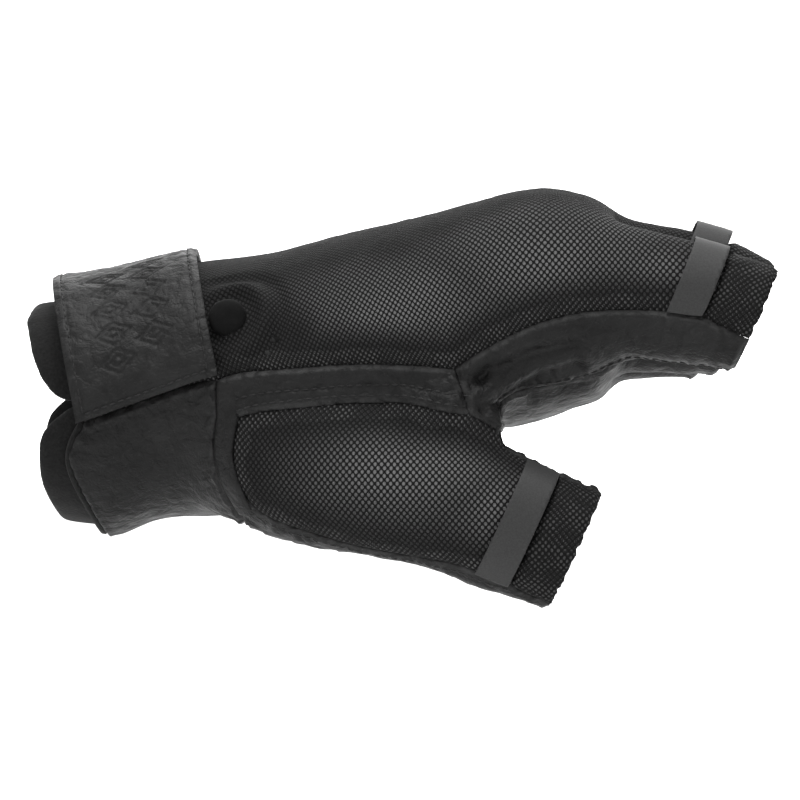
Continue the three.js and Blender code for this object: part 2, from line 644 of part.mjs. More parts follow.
// ---- Strap: hinged on its lower seam, over the back of the wrist, to the little-finger side.
const strapLow = flat([STRAP_LOW])[0];
const strapTurn = radians(STRAP_LEAN);
const strapUp = new THREE.Vector2(-Math.sin(strapTurn), Math.cos(strapTurn));
const seamTurn = radians(STRAP_SEAM_SLOPE);
const strapHigh = strapLow.clone().addScaledVector(
  new THREE.Vector2(Math.cos(seamTurn), Math.sin(seamTurn)),
  STRAP_WIDTH / Math.cos(seamTurn - strapTurn),
);
const strapOutline = [
  strapLow.clone().addScaledVector(strapUp, GAP),
  strapHigh.clone().addScaledVector(strapUp, GAP),
  strapHigh.clone().addScaledVector(strapUp, STRAP_RUN),
  strapLow.clone().addScaledVector(strapUp, STRAP_RUN),
];

// What lies lower than z on the little-finger side.
const farUnder = (z) => prism(rectangle([-FAR_SIDE, FAR_SIDE], [-FAR_SIDE, z]), 0, REACH);

function strapBand(from, to, stop) {
  const band = prism(strapOutline, -REACH, 0).add(prism(strapOutline, 0, REACH).subtract(farUnder(stop)));
  return layer(handForm, from, to).intersect(band).subtract(clearOfGlove);
}
const hookZone = farUnder(STRAP_END_Z + HOOK_TAPE_RISE);
const leatherLift = 3 * GAP + LOOP_WALL + HOOK_WALL;
const liningLift = leatherLift - GAP;
add('strap_leather', strapBand(leatherLift, leatherLift + STRAP_WALL, STRAP_END_Z), 'strap');
add('strap_lining', strapBand(GAP, liningLift, STRAP_END_Z)
  .subtract(hookZone.translate(0, 0, GAP)), 'neoprene');
add('strap_hook_tape', strapBand(2 * GAP + LOOP_WALL, liningLift, STRAP_END_Z + 2 * EDGE)
  .intersect(hookZone), 'tape');
const loopZone = hookZone.intersect(prism(rectangle(LOOP_PATCH_X, [-FAR_SIDE, FAR_SIDE])))
  .subtract(farUnder(STRAP_END_Z - LOOP_PATCH_SPARE));
add('closure_loop_patch', layer(handForm, GAP, GAP + LOOP_WALL).intersect(loopZone), 'tape');

// ---- Button: a cloth-covered knob on the thumb side, next to the strap.
const BUTTON_PROFILE = [[0, 0], [1, 0], [1, 0.35], [0.8, 0.8], [0.45, 1], [0, 1]];
const buttonPlace = strapHigh.clone().addScaledVector(strapUp, BUTTON_UP_STRAP).add(
  new THREE.Vector2(strapUp.y, -strapUp.x).multiplyScalar(BUTTON_DIAMETER / 2 + BUTTON_CLEARANCE),
);
const [buttonX, buttonZ] = buttonPlace.toArray();
const button = new THREE.LatheGeometry(BUTTON_PROFILE.map(
  ([r, h]) => new THREE.Vector2(r * BUTTON_DIAMETER / 2, h * BUTTON_HEIGHT),
), BUTTON_SIDES);
const probe = clearOfGlove.intersect(solidOf(
  new THREE.CylinderGeometry(EDGE, EDGE, REACH).translate(buttonX, -REACH / 2, buttonZ),
));
button.rotateX(Math.PI).translate(buttonX, probe.boundingBox().min[1] + BUTTON_SINK, buttonZ);
add('wrist_button', solidOf(button).subtract(clearOfGlove), 'mesh');

export default glove;
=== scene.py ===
"""A left-hand, half-finger sailing glove of black leather and stretch mesh, filled by a hand."""

import json
import logging
import math
from dataclasses import dataclass, field
from enum import Enum
from typing import Callable, Iterable, Sequence

import bmesh
import bpy
import numpy as np
from mathutils import Matrix, Vector, noise
from mathutils.bvhtree import BVHTree
from mathutils.kdtree import KDTree


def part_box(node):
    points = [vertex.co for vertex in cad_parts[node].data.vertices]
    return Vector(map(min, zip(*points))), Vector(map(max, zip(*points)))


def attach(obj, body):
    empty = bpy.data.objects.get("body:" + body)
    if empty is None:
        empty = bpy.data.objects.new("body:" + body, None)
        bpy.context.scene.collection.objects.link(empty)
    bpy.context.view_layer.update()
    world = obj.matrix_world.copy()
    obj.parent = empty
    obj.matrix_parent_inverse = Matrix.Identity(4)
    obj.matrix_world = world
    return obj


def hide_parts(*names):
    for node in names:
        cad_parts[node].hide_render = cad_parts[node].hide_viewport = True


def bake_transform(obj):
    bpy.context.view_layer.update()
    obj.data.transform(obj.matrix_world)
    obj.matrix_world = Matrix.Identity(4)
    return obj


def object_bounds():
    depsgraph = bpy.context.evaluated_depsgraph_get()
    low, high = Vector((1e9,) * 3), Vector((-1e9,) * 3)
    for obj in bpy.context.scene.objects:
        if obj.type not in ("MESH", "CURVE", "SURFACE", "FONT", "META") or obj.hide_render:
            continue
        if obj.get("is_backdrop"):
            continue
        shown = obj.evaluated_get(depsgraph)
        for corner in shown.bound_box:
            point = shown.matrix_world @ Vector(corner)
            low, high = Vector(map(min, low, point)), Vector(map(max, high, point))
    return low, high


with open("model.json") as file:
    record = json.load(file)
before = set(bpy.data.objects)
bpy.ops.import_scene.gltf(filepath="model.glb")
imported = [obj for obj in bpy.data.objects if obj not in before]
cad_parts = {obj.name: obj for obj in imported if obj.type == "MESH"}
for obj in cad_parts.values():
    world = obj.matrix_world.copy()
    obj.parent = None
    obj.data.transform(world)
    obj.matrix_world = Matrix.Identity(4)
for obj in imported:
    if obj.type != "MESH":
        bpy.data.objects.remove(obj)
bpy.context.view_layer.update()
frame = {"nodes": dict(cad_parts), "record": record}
MM = 0.001
log = logging.getLogger("glove")

# ---- Measures of the cloth, in metres.
VOXEL = 0.85 * MM
SEAM_FILL = 0.3 * MM
GROOVE = 0.45 * MM
STITCH_PITCH = 2.1 * MM
STITCH_LENGTH = 1.55 * MM
STITCH_WIDTH = 0.42 * MM
STITCH_RISE = 0.05 * MM
CHANNEL_PITCH = 0.4 * MM
CHANNEL_DEPTH = 0.3 * MM
CHANNEL_WIDTH = 0.95 * MM
SEAM_PITCH = 0.8 * MM
SEAM_ROUNDS = 6
SHIFTED_ROUNDS = 4

# ---- How near points are merged, and how far the smoothing goes each round.
WELD = 0.01 * MM
CAD_WELD = 0.002 * MM
CUT_WELD = 0.001 * MM
EASE = 0.5


class Bend(Enum):
    """Which body a piece rides on, or the joint at which it is left fixed in place."""

    HAND = "hand"
    FINGERS = "fingers"
    THUMB = "thumb"
    STRAP = "strap"
    KNUCKLES = "knuckles"
    THUMB_KNUCKLE = "thumb knuckle"


def follow(piece: bpy.types.Object, bend: Bend) -> None:
    """Lets a finished piece ride on a body; a piece at a knuckle is left fixed where it is.

    Args:
        piece: The finished object.
        bend: The body that it rides on, or the joint at which it is left fixed.
    """
    if bend is Bend.KNUCKLES:
        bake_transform(piece)
    elif bend is Bend.THUMB_KNUCKLE:
        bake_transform(piece)
    else:
        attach(piece, bend.value)


# ---------------------------------------------------------------- finishes
class Nodes:
    """A short way to write a node material."""

    def __init__(self, name: str) -> None:
        """Starts a material with a Principled shader.

        Args:
            name: The material's name.
        """
        self.material = bpy.data.materials.new(name)
        self.material.use_nodes = True
        self.tree = self.material.node_tree
        self.shader = self.tree.nodes["Principled BSDF"]

    def add(self, kind: str, inputs: dict | None = None, **settings: object) -> bpy.types.Node:
        """Adds a node.

        Args:
            kind: The node's type, without its ShaderNode prefix.
            inputs: Values or output sockets for its input sockets, by name or number.
            settings: Attributes of the node.

        Returns:
            The new node.
        """
        node = self.tree.nodes.new("ShaderNode" + kind)
        for key, value in settings.items():
            setattr(node, key, value)
        for key, value in (inputs or {}).items():
            if isinstance(value, bpy.types.NodeSocket):
                self.tree.links.new(value, node.inputs[key])
            else:
                node.inputs[key].default_value = value
        return node

    def math(self, operation: str, a: object, b: object = 0.0,
             clamp: bool = False) -> bpy.types.NodeSocket:
        """Adds a Math node and returns its output."""
        return self.add("Math", {0: a, 1: b}, operation=operation, use_clamp=clamp).outputs[0]

    def ramp(self, factor: bpy.types.NodeSocket, stops: Sequence[tuple]) -> bpy.types.NodeSocket:
        """Adds a colour ramp.

        Args:
            factor: The value that it reads.
            stops: Places and grey or colour values.

        Returns:
            The ramp's colour.
        """
        node = self.add("ValToRGB", {"Fac": factor})
        elements = node.color_ramp.elements
        while len(elements) < len(stops):
            elements.new(0.5)
        for element, (place, value) in zip(elements, stops):
            element.position = place
            shade = (value,) * 3 if isinstance(value, (int, float)) else value
            element.color = (*shade, 1)
        return node.outputs["Color"]

    def feed(self, **sockets: object) -> None:
        """Sets or links the shader's inputs, with underscores for the spaces in their names."""
        for key, value in sockets.items():
            socket = self.shader.inputs[key.replace("_", " ")]
            if isinstance(value, bpy.types.NodeSocket):
                self.tree.links.new(value, socket)
            else:
                socket.default_value = value

    def bump(self, height: bpy.types.NodeSocket, strength: float, distance: float,
             under: bpy.types.NodeSocket | None = None) -> bpy.types.NodeSocket:
        """Adds a Bump node.

        Args:
            height: The height that it reads.
            strength: Its strength.
            distance: Its distance in metres.
            under: The normal of a coarser bump below it.

        Returns:
            The bumped normal.
        """
        inputs = {"Height": height, "Strength": strength, "Distance": distance}
        if under is not None:
            inputs["Normal"] = under
        return self.add("Bump", inputs).outputs[0]


@dataclass(frozen=True)
class MeshCloth:
    """Stretch air mesh: a lattice of dark threads round small, lighter knit cells.

    It reads two attributes of the cloth: how far it is pulled open, with painted light on the bulges that
    face the camera mixed in, and where it lies double.
    """

    name: str = "air_mesh"
    pitch: float = 1.47 * MM
    rise: float = 1.72 * MM
    dark: float = 0.004
    light: float = 0.12
    slack: float = 0.1
    relief: float = 0.3 * MM
    waver: float = 0.5 * MM
    double: float = 0.0
    fuzz: float = 2600.0
    patches: float = 60.0
    under_shift: tuple[float, float] = (0.43, 0.29)

    def material(self) -> bpy.types.Material:
        """Builds the material."""
        n = Nodes(self.name)
        flat = n.add("TexCoord").outputs["UV"]
        cells = self.lattice(n, flat, self.waver, (0.0, 0.0))
        under = self.lattice(n, flat, self.waver * 3, self.under_shift)
        doubled = n.add("Attribute", attribute_name="doubled").outputs["Fac"]
        doubled = n.math("ADD", doubled, self.double, clamp=True)
        both = n.math("MULTIPLY", cells, n.math("ADD", n.math("MULTIPLY", under, 0.85), 0.15))
        cell = n.add("Mix", {"Factor": doubled, 2: cells, 3: both}, data_type="FLOAT").outputs[0]
        fine = n.add("TexNoise", {"Vector": flat, "Scale": self.fuzz, "Detail": 2.0}).outputs["Fac"]
        patch = n.add("TexNoise", {"Vector": flat, "Scale": self.patches, "Detail": 2.0}).outputs["Fac"]
        # Partly real, partly painted light: the cells are lighter where the knit is pulled open, and the
        # same factor paints them lighter on the bulges that face the camera and darker towards the seams.
        stretch_and_painted_light = n.add("Attribute", attribute_name="stretch_and_painted_light").outputs["Fac"]
        shine = n.math("ADD", n.math("MULTIPLY", stretch_and_painted_light, 1 - self.slack), self.slack)
        shine = n.math("MAXIMUM", shine, n.math("MULTIPLY", doubled, 0.5))
        tone = n.math("MULTIPLY", n.math("MULTIPLY", cell, shine), n.math("ADD", fine, 0.5))
        tone = n.math("MULTIPLY", tone, n.math("ADD", n.math("MULTIPLY", patch, 0.7), 0.65))
        colour = n.ramp(tone, [(0.0, self.dark), (1.0, self.light)])
        thread = n.math("ADD", n.math("SUBTRACT", 1.0, cell), n.math("MULTIPLY", fine, 0.35))
        n.feed(Base_Color=colour, Roughness=0.85, Specular_IOR_Level=0.12,
               Normal=n.bump(thread, 0.8, self.relief))
        return n.material

    def lattice(self, n: Nodes, flat: bpy.types.NodeSocket, waver: float,
                shift: tuple[float, float]) -> bpy.types.NodeSocket:
        """Draws one layer of the knit.

        Args:
            n: The material.
            flat: The cloth's own coordinates.
            waver: How far the threads stray.
            shift: Where the layer lies, in cells.

        Returns:
            0 on the threads and 1 in the middle of each cell.
        """
        stray = n.add("TexNoise", {"Vector": flat, "Scale": 90.0 + 160.0 * shift[0], "Detail": 1.0})
        moved = n.add("VectorMath", {0: stray.outputs["Color"], 1: (waver, waver, 0)},
                      operation="MULTIPLY")
        place = n.add("VectorMath", {0: flat, 1: moved.outputs[0]}, operation="ADD").outputs[0]
        axes = n.add("SeparateXYZ", {0: place}).outputs
        along = n.math("ADD", n.math("MULTIPLY", axes[0], 1 / self.pitch), shift[0])
        across = n.math("ADD", n.math("MULTIPLY", axes[1], 1 / self.rise), shift[1])
        rising = n.math("PINGPONG", n.math("ADD", along, across), 0.5)
        falling = n.math("PINGPONG", n.math("SUBTRACT", along, across), 0.5)
        cell = n.math("MULTIPLY", n.math("MULTIPLY", rising, falling), 4.0)
        return n.add("MapRange", {"Value": cell, "From Min": 0.06, "From Max": 0.42},
                     interpolation_type="SMOOTHSTEP").outputs[0]


@dataclass(frozen=True)
class GrainLeather:
    """Soft, matt, fine-grained leather, with a painted highlight along the edge where it is folded over
    at a seam.
    """

    name: str = "grain_leather"
    colour: float = 0.0065
    roughness: float = 0.5
    shine: float = 0.17
    grain: float = 0.9 * MM
    depth: float = 0.22 * MM
    edge_highlight: float = 0.55
    wrinkles: float = 340.0
    wrinkle_depth: float = 0.9 * MM
    patches: float = 45.0

    def material(self) -> bpy.types.Material:
        """Builds the material."""
        n = Nodes(self.name)
        place = n.add("TexCoord").outputs["Object"]
        pores = n.add("TexVoronoi", {"Vector": place, "Scale": 1 / self.grain, "Randomness": 1.0},
                      feature="DISTANCE_TO_EDGE").outputs["Distance"]
        creases = n.add("TexNoise", {"Vector": place, "Scale": self.wrinkles, "Detail": 6.0,
                                     "Distortion": 0.6}).outputs["Fac"]
        patch = n.add("TexNoise", {"Vector": place, "Scale": self.patches, "Detail": 3.0}).outputs["Fac"]
        edge = n.add("Attribute", attribute_name="edge").outputs["Fac"]
        # Painted light: the colour follows the wrinkle bump, with a painted highlight on its crests and
        # painted shade in its hollows; the patches are random tone.
        tone = n.math("ADD", n.math("MULTIPLY", patch, 0.7), n.math("MULTIPLY", creases, 0.5))
        # Painted highlight: the leather is painted lighter in a narrow band along its sewn edge.
        tone = n.math("ADD", tone, n.math("MULTIPLY", edge, n.math("MULTIPLY", creases, self.edge_highlight)))
        colour = n.ramp(tone, [(0.4, self.colour * 0.4), (0.8, self.colour * 1.9),
                               (1.0, self.colour * 4)])
        rough = n.add("MapRange", {"Value": creases, "From Min": 0.3, "From Max": 0.7,
                                   "To Min": self.roughness - 0.1, "To Max": self.roughness + 0.14})
        coarse = n.bump(creases, 1.0, self.wrinkle_depth)
        fine = n.bump(n.math("MINIMUM", pores, 0.25), 0.7, self.depth, coarse)
        n.feed(Base_Color=colour, Roughness=rough.outputs[0], Specular_IOR_Level=self.shine,
               Normal=fine)
        return n.material


@dataclass(frozen=True)
class PlainFinish:
    """A fine, even stuff: its grain shades its colour a little and stands out a little."""

    name: str
    colour: float
    grain: float
    detail: float
    shades: tuple[tuple[float, float], tuple[float, float]]
    roughness: float
    shine: float
    strength: float
    relief: float
    sheen: float = 0.0
    sheen_roughness: float = 0.5

    def material(self) -> bpy.types.Material:
        """Builds the material."""
        n = Nodes(self.name)
        place = n.add("TexCoord").outputs["Object"]
        grain = n.add("TexNoise", {"Vector": place, "Scale": self.grain,
                                   "Detail": self.detail}).outputs["Fac"]
        colour = n.ramp(grain, [(at, self.colour * shade) for at, shade in self.shades])
        n.feed(Base_Color=colour, Roughness=self.roughness, Specular_IOR_Level=self.shine,
               Sheen_Weight=self.sheen, Sheen_Roughness=self.sheen_roughness,
               Normal=n.bump(grain, self.strength, self.relief))
        return n.material


FOAM_RUBBER = PlainFinish("foam_rubber", 0.006, 1600.0, 3.0, ((0.3, 0.6), (0.75, 1.8)), 0.92, 0.12,
                          0.8, 0.2 * MM, sheen=0.04, sheen_roughness=0.6)
RIBBON = PlainFinish("ribbon", 0.030, 2600.0, 2.0, ((0.3, 0.85), (0.7, 1.15)), 0.6, 0.2,
                     0.4, 0.08 * MM)
THREAD = PlainFinish("thread", 0.012, 3000.0, 2.0, ((0.3, 0.7), (0.7, 1.5)), 0.55, 0.25,
                     0.5, 0.06 * MM)


@dataclass(frozen=True)
class Fastening:
    """Hook tape or loop pile."""

    name: str
    colour: float
    nap: float
    relief: float

    def material(self) -> bpy.types.Material:
        """Builds the material."""
        n = Nodes(self.name)
        place = n.add("TexCoord").outputs["Object"]
        tufts = n.add("TexVoronoi", {"Vector": place, "Scale": 1 / self.nap}).outputs["Distance"]
        strands = n.add("TexNoise", {"Vector": place, "Scale": 2200.0, "Detail": 3.0}).outputs["Fac"]
        height = n.math("SUBTRACT", strands, tufts)
        colour = n.ramp(height, [(0.0, self.colour * 0.4), (0.6, self.colour * 1.6)])
        n.feed(Base_Color=colour, Roughness=0.85, Specular_IOR_Level=0.2,
               Normal=n.bump(height, 1.0, self.relief))
        return n.material


# ---------------------------------------------------------------- mesh helpers
def object_from(bm: bmesh.types.BMesh, name: str) -> bpy.types.Object:
    """Makes an object of a bmesh and frees the bmesh.

    Args:
        bm: The mesh.
        name: The object's name.

    Returns:
        The new, linked object.
    """
    mesh = bpy.data.meshes.new(name)
    bm.to_mesh(mesh)
    bm.free()
    piece = bpy.data.objects.new(name, mesh)
    bpy.context.scene.collection.objects.link(piece)
    return piece


def dress(piece: bpy.types.Object, material: bpy.types.Material) -> None:
    """Gives a piece one material."""
    piece.data.materials.clear()
    piece.data.materials.append(material)


def fit(piece: bpy.types.Object, material: bpy.types.Material, bend: Bend, slot: str,
        *nodes: str) -> None:
    """Dresses a finished piece, sets it on its body or leaves it fixed at its joint, and reports it.

    Args:
        piece: The finished piece.
        material: Its finish.
        bend: The body that it rides on, or the joint at which it is left fixed.
        slot: The name of its finish in the record; not used.
        nodes: The nodes of the frame that it stands in for.
    """
    piece.data.shade_smooth()
    dress(piece, material)
    follow(piece, bend)
    if nodes:
        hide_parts(*nodes)
    log.info("%s: %d faces, follows the %s", piece.name, len(piece.data.polygons), bend.value)


def finished_copy(piece: bpy.types.Object) -> None:
    """Applies every modifier of a piece to its mesh."""
    graph = bpy.context.evaluated_depsgraph_get()
    mesh = bpy.data.meshes.new_from_object(piece.evaluated_get(graph))
    piece.modifiers.clear()
    piece.data = mesh


def thicken(piece: bpy.types.Object, thickness: float) -> None:
    """Gives a sheet its thickness, towards the inside."""
    wall = piece.modifiers.new("thickness", "SOLIDIFY")
    wall.thickness = thickness
    wall.offset = -1
    wall.use_rim = True
    finished_copy(piece)


def raise_points(bm: bmesh.types.BMesh, height: Callable[[bmesh.types.BMVert], float]) -> None:
    """Moves every point of a mesh out along its normal.

    Args:
        bm: The mesh.
        height: Gives how far a point moves.
    """
    moves = [vertex.normal * height(vertex) for vertex in bm.verts]
    for vertex, move in zip(bm.verts, moves):
        vertex.co += move


def smooth_points(bm: bmesh.types.BMesh, verts: Sequence[bmesh.types.BMVert]) -> None:
    """Moves points halfway to the middle of their neighbours."""
    bmesh.ops.smooth_vert(bm, verts=verts, factor=EASE, use_axis_x=True, use_axis_y=True,
                          use_axis_z=True)


def free_edges(bm: bmesh.types.BMesh) -> list[bmesh.types.BMEdge]:
    """Finds the edges along a mesh's borders."""
    return [edge for edge in bm.edges if len(edge.link_faces) == 1]


def corners(node: str) -> tuple[Vector, Vector]:
    """Gives the low and the high corner of a node's box."""
    low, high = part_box(node)
    return Vector(low), Vector(high)


def cad_solid(nodes: Sequence[str], grow: float) -> bmesh.types.BMesh:
    """Copies nodes of the frame into one mesh, each grown a little to close the seam gaps.

    Args:
        nodes: The nodes to copy.
        grow: How far each surface moves out.

    Returns:
        The joined mesh.
    """
    joined = bmesh.new()
    for name in nodes:
        part = bmesh.new()
        part.from_mesh(frame["nodes"][name].data)
        bmesh.ops.remove_doubles(part, verts=part.verts, dist=CAD_WELD)
        part.normal_update()
        raise_points(part, lambda _: grow)
        mesh = bpy.data.meshes.new(name)
        part.to_mesh(mesh)
        part.free()
        joined.from_mesh(mesh)
        bpy.data.meshes.remove(mesh)
    return joined


def remeshed(bm: bmesh.types.BMesh, voxel: float, name: str) -> bpy.types.Object:
    """Makes one fine, even surface of a rough solid.

    Args:
        bm: The solid, which is used up.
        voxel: The edge length of the new faces.
        name: The new object's name.

    Returns:
        The new object.
    """
    piece = object_from(bm, name)
    fine = piece.modifiers.new("fine", "REMESH")
    fine.mode = "VOXEL"
    fine.voxel_size = voxel
    finished_copy(piece)
    return piece


# ---------------------------------------------------------------- the glove's skin
MOUTHS = (
    ("palm_cavity", "wrist_cavity", 26 * MM),
    ("knuckle_cavity", "index_stall_end", 12 * MM),
    ("knuckle_cavity", "middle_stall_end", 12 * MM),
    ("knuckle_cavity", "ring_stall", 11 * MM),
    ("knuckle_cavity", "little_stall", 9 * MM),
    ("thumb_root", "thumb_stall_end", 13 * MM),
)
PLUG_DEPTH = 3 * MM
PLUG_LENGTH = 5 * MM
PLUG_SHRINK = 0.9 * MM
DIGITS = ("index", "middle", "ring", "little", "thumb")
END_TRIM = 0.5 * MM
END_REACH = 30 * MM
RIM_ROUNDS = 16
HOLE_GIRTH = 50 * MM
AXIS_SPREAD = 1.5
AXIS_TIE = 0.1 * MM
WALL_REACH = 0.8 * MM
MOUTH_DEPTH = 16 * MM
MOUTH_SPREAD = 1.7
MOUTH_LEAN = 0.12
MOST_NEIGHBOURS = 3
HIDDEN_ROUNDS = 3
LABEL_ROUNDS = 4
CRUMB = 150
STEEPEST_STALL = 45
STEEPEST_STRAP = 30
TURN_STEP = 0.1
VOTE_STEP = 2 * MM
# The ways in which a face looks for the open, seen from its own normal.
FAN = [Matrix.Rotation(turn, 3, "Z") @ Vector((math.sin(lean), 0, math.cos(lean)))
       for lean in (0.6, 1.05, 1.35) for turn in (0.2, 1.46, 2.71, 3.97, 5.23)]


@dataclass
class Line:
    """A line on the skin, with the surface's normal at each point."""

    points: np.ndarray
    normals: np.ndarray

    def lengths(self) -> np.ndarray:
        """Gives the distance of each point from the start, along the line."""
        steps = np.linalg.norm(np.diff(self.points, axis=0), axis=1)
        return np.concatenate([[0.0], np.cumsum(steps)])

    def resampled(self, pitch: float) -> "Line":
        """Places points at an even pitch.

        Args:
            pitch: The distance between points.

        Returns:
            The new line.
        """
        places = self.lengths()
        wanted = np.linspace(0, places[-1], max(2, round(places[-1] / pitch) + 1))
        points = np.stack([np.interp(wanted, places, self.points[:, k]) for k in range(3)], axis=1)
        normals = np.stack([np.interp(wanted, places, self.normals[:, k]) for k in range(3)], axis=1)
        normals /= np.linalg.norm(normals, axis=1)[:, None]
        return Line(points, normals)

    def tangents(self) -> np.ndarray:
        """Gives the direction of the line at each point."""
        ways = np.gradient(self.points, axis=0)
        return ways / np.linalg.norm(ways, axis=1)[:, None]

    def sides(self) -> np.ndarray:
        """Gives the direction across the line, in the surface, at each point."""
        across = np.cross(self.tangents(), self.normals)
        return across / np.linalg.norm(across, axis=1)[:, None]

    def cut(self, keep: Callable[[np.ndarray], bool]) -> "Line":
        """Keeps the points that pass a test."""
        chosen = np.array([keep(point) for point in self.points])
        return Line(self.points[chosen], self.normals[chosen])

    def smoothed(self, rounds: int) -> "Line":
        """Evens out the line, with its ends held."""
        points = self.points.copy()
        for _ in range(rounds):
            points[1:-1] += EASE * ((points[:-2] + points[2:]) / 2 - points[1:-1])
        return Line(points, self.normals)


class Skin:
    """The outer surface of the whole glove, from which the panels are cut."""

    def __init__(self, panels: Sequence["Panel"]) -> None:
        """Makes the surface, labels its faces by panel and cleans the lines between them.

        Args:
            panels: The panels, whose order gives the labels.
        """
        self.numbers = {panel.name: number for number, panel in enumerate(panels)}
        self.owner = {node: self.numbers[panel.name] for panel in panels for node in panel.nodes}
        solid = cad_solid(list(self.owner), SEAM_FILL)
        self.plug(solid)
        piece = remeshed(solid, VOXEL, "skin")
        self.mesh = bmesh.new()
        self.mesh.from_mesh(piece.data)
        bpy.data.objects.remove(piece)
        keep_largest(self.mesh)
        self.keep_outside()
        self.trim_ends()
        self.close_holes()
        self.label()
        self.relax()
        self.tree = BVHTree.FromBMesh(self.mesh)
        log.info("skin: %d faces", len(self.mesh.faces))

    def plug(self, solid: bmesh.types.BMesh) -> None:
        """Stops the glove's openings, so that its inside comes apart from its outside.

        Args:
            solid: The joined walls, which the plugs are added to.
        """
        boxes = {o["name"]: o["box_m"] for o in frame["record"]["physics"]["openings"]}
        middle = {name: Vector(np.mean(np.array(box), axis=0)) for name, box in boxes.items()}
        walls = [vertex.co.copy() for vertex in solid.verts]
        axes = [(middle[start], (middle[end] - middle[start]).normalized())
                for start, end, _ in MOUTHS]
        self.mouths: list[tuple[Vector, Vector]] = []
        for number, ((start, way), (_, _, reach)) in enumerate(zip(axes, MOUTHS)):
            own = []
            for place in walls:
                along = (place - start).dot(way)
                if along < 0 or (place - start - along * way).length > reach * AXIS_SPREAD:
                    continue
                own.append((along, place))
            rim = self.rim_of(own, number, axes)
            centre = sum(rim, Vector()) / len(rim)
            self.mouths.append((centre, way))
            bm = bmesh.new()
            for place in rim:
                away = place - centre
                away -= away.dot(way) * way
                bm.verts.new(place - away.normalized() * PLUG_SHRINK - way * PLUG_DEPTH)
            geometry = bmesh.ops.convex_hull(bm, input=bm.verts)
            spare = [item for key in ("geom_interior", "geom_unused") for item in geometry[key]]
            bmesh.ops.delete(bm, geom=list({v for v in spare if isinstance(v, bmesh.types.BMVert)}),
                             context="VERTS")
            mesh = bpy.data.meshes.new("plug")
            bm.to_mesh(mesh)
            bm.free()
            solid.from_mesh(mesh)
            bpy.data.meshes.remove(mesh)

    @staticmethod
    def rim_of(own: Sequence[tuple[float, Vector]], number: int,
               axes: Sequence[tuple[Vector, Vector]]) -> list[Vector]:
        """Picks the points of the walls next to one opening.

        Args:
            own: The points near its axis, with their distances along it.
            number: Which opening it is.
            axes: The start and direction of every opening's axis.

        Returns:
            The points within a short way of the opening's edge.
        """
        def off(place: Vector, axis: tuple[Vector, Vector]) -> float:
            """Measures from a place to an axis."""
            away = place - axis[0]
            return (away - away.dot(axis[1]) * axis[1]).length

        mine = [(along, place) for along, place in own
                if off(place, axes[number]) <= min(off(place, axis) for axis in axes) + AXIS_TIE]
        edge = max(along for along, _ in mine)
        return [place for along, place in mine if along > edge - PLUG_LENGTH]

    def keep_outside(self) -> None:
        """Drops the plugs, and every face that looks only into the glove."""
        bm = self.mesh
        bm.normal_update()
        walls, _ = cad_tree(self.owner)
        surface = BVHTree.FromBMesh(bm)
        hidden = {face for face in bm.faces if not sees_out(face, surface)}
        for _ in range(HIDDEN_ROUNDS):
            for face in bm.faces:
                around = neighbours(face)
                inside = sum(other in hidden for other in around)
                if inside >= MOST_NEIGHBOURS:
                    hidden.add(face)
                elif len(around) - inside >= MOST_NEIGHBOURS:
                    hidden.discard(face)
        drop = []
        for face in bm.faces:
            centre = face.calc_center_median()
            off_the_wall = walls.find_nearest(centre)[3] > WALL_REACH
            if face in hidden or off_the_wall or self.in_a_mouth(face, centre):
                drop.append(face)
        bmesh.ops.delete(bm, geom=drop, context="FACES")
        keep_largest(bm)
        bm.normal_update()

    def in_a_mouth(self, face: bmesh.types.BMFace, centre: Vector) -> bool:
        """Tells whether a face is on the inside of the wall next to an opening."""
        for (mouth, way), (_, _, reach) in zip(self.mouths, MOUTHS):
            away = centre - mouth
            along = away.dot(way)
            across = away - along * way
            near = abs(along) < MOUTH_DEPTH and across.length < MOUTH_SPREAD * reach
            if near and self.nearest_mouth(centre) is mouth:
                return face.normal.dot(across) < MOUTH_LEAN * across.length
        return False

    def trim_ends(self) -> None:
        """Cuts each stall off square, where its hem ends."""
        bm = self.mesh
        self.square: dict[int, Vector] = {}
        for digit, (mouth, _) in zip(DIGITS, self.mouths[1:]):
            way, _, end = lengthways(f"{digit}_hem")
            near = [face for face in bm.faces
                    if self.nearest_mouth(face.calc_center_median()) is mouth
                    and (face.calc_center_median() - mouth).length < END_REACH]
            geometry = list({item for face in near for item in (*face.verts, *face.edges, face)})
            bmesh.ops.bisect_plane(bm, geom=geometry, dist=CUT_WELD, plane_co=way * (end - END_TRIM),
                                   plane_no=way, clear_outer=True)
            self.square[id(mouth)] = way
        keep_largest(bm)
        bm.normal_update()

    def close_holes(self) -> None:
        """Fills every hole of the surface that isn't one of the glove's openings."""
        bm = self.mesh
        for loop in loops_of(free_edges(bm)):
            girth = sum(edge.calc_length() for edge in loop)
            if girth > HOLE_GIRTH or len(loop) < 3:
                continue
            filled = bmesh.ops.triangle_fill(bm, use_beauty=True, edges=loop)["geom"]
            inner = [item for item in filled if isinstance(item, bmesh.types.BMEdge) and item not in loop]
            if inner:
                bmesh.ops.subdivide_edges(bm, edges=inner, cuts=2, use_grid_fill=True)
        bmesh.ops.recalc_face_normals(bm, faces=bm.faces)
        bm.verts.ensure_lookup_table()
        bm.faces.ensure_lookup_table()
        bm.normal_update()

    def nearest_mouth(self, place: Vector) -> Vector:
        """Finds the middle of the opening nearest to a place."""
        return min((mouth for mouth, _ in self.mouths), key=lambda mouth: (mouth - place).length)

    def onward(self, place: Vector) -> Vector:
        """Gives the direction out of the opening nearest to a place, or nothing at the wrist."""
        return Vector(self.square.get(id(self.nearest_mouth(place)), (0, 0, 0)))

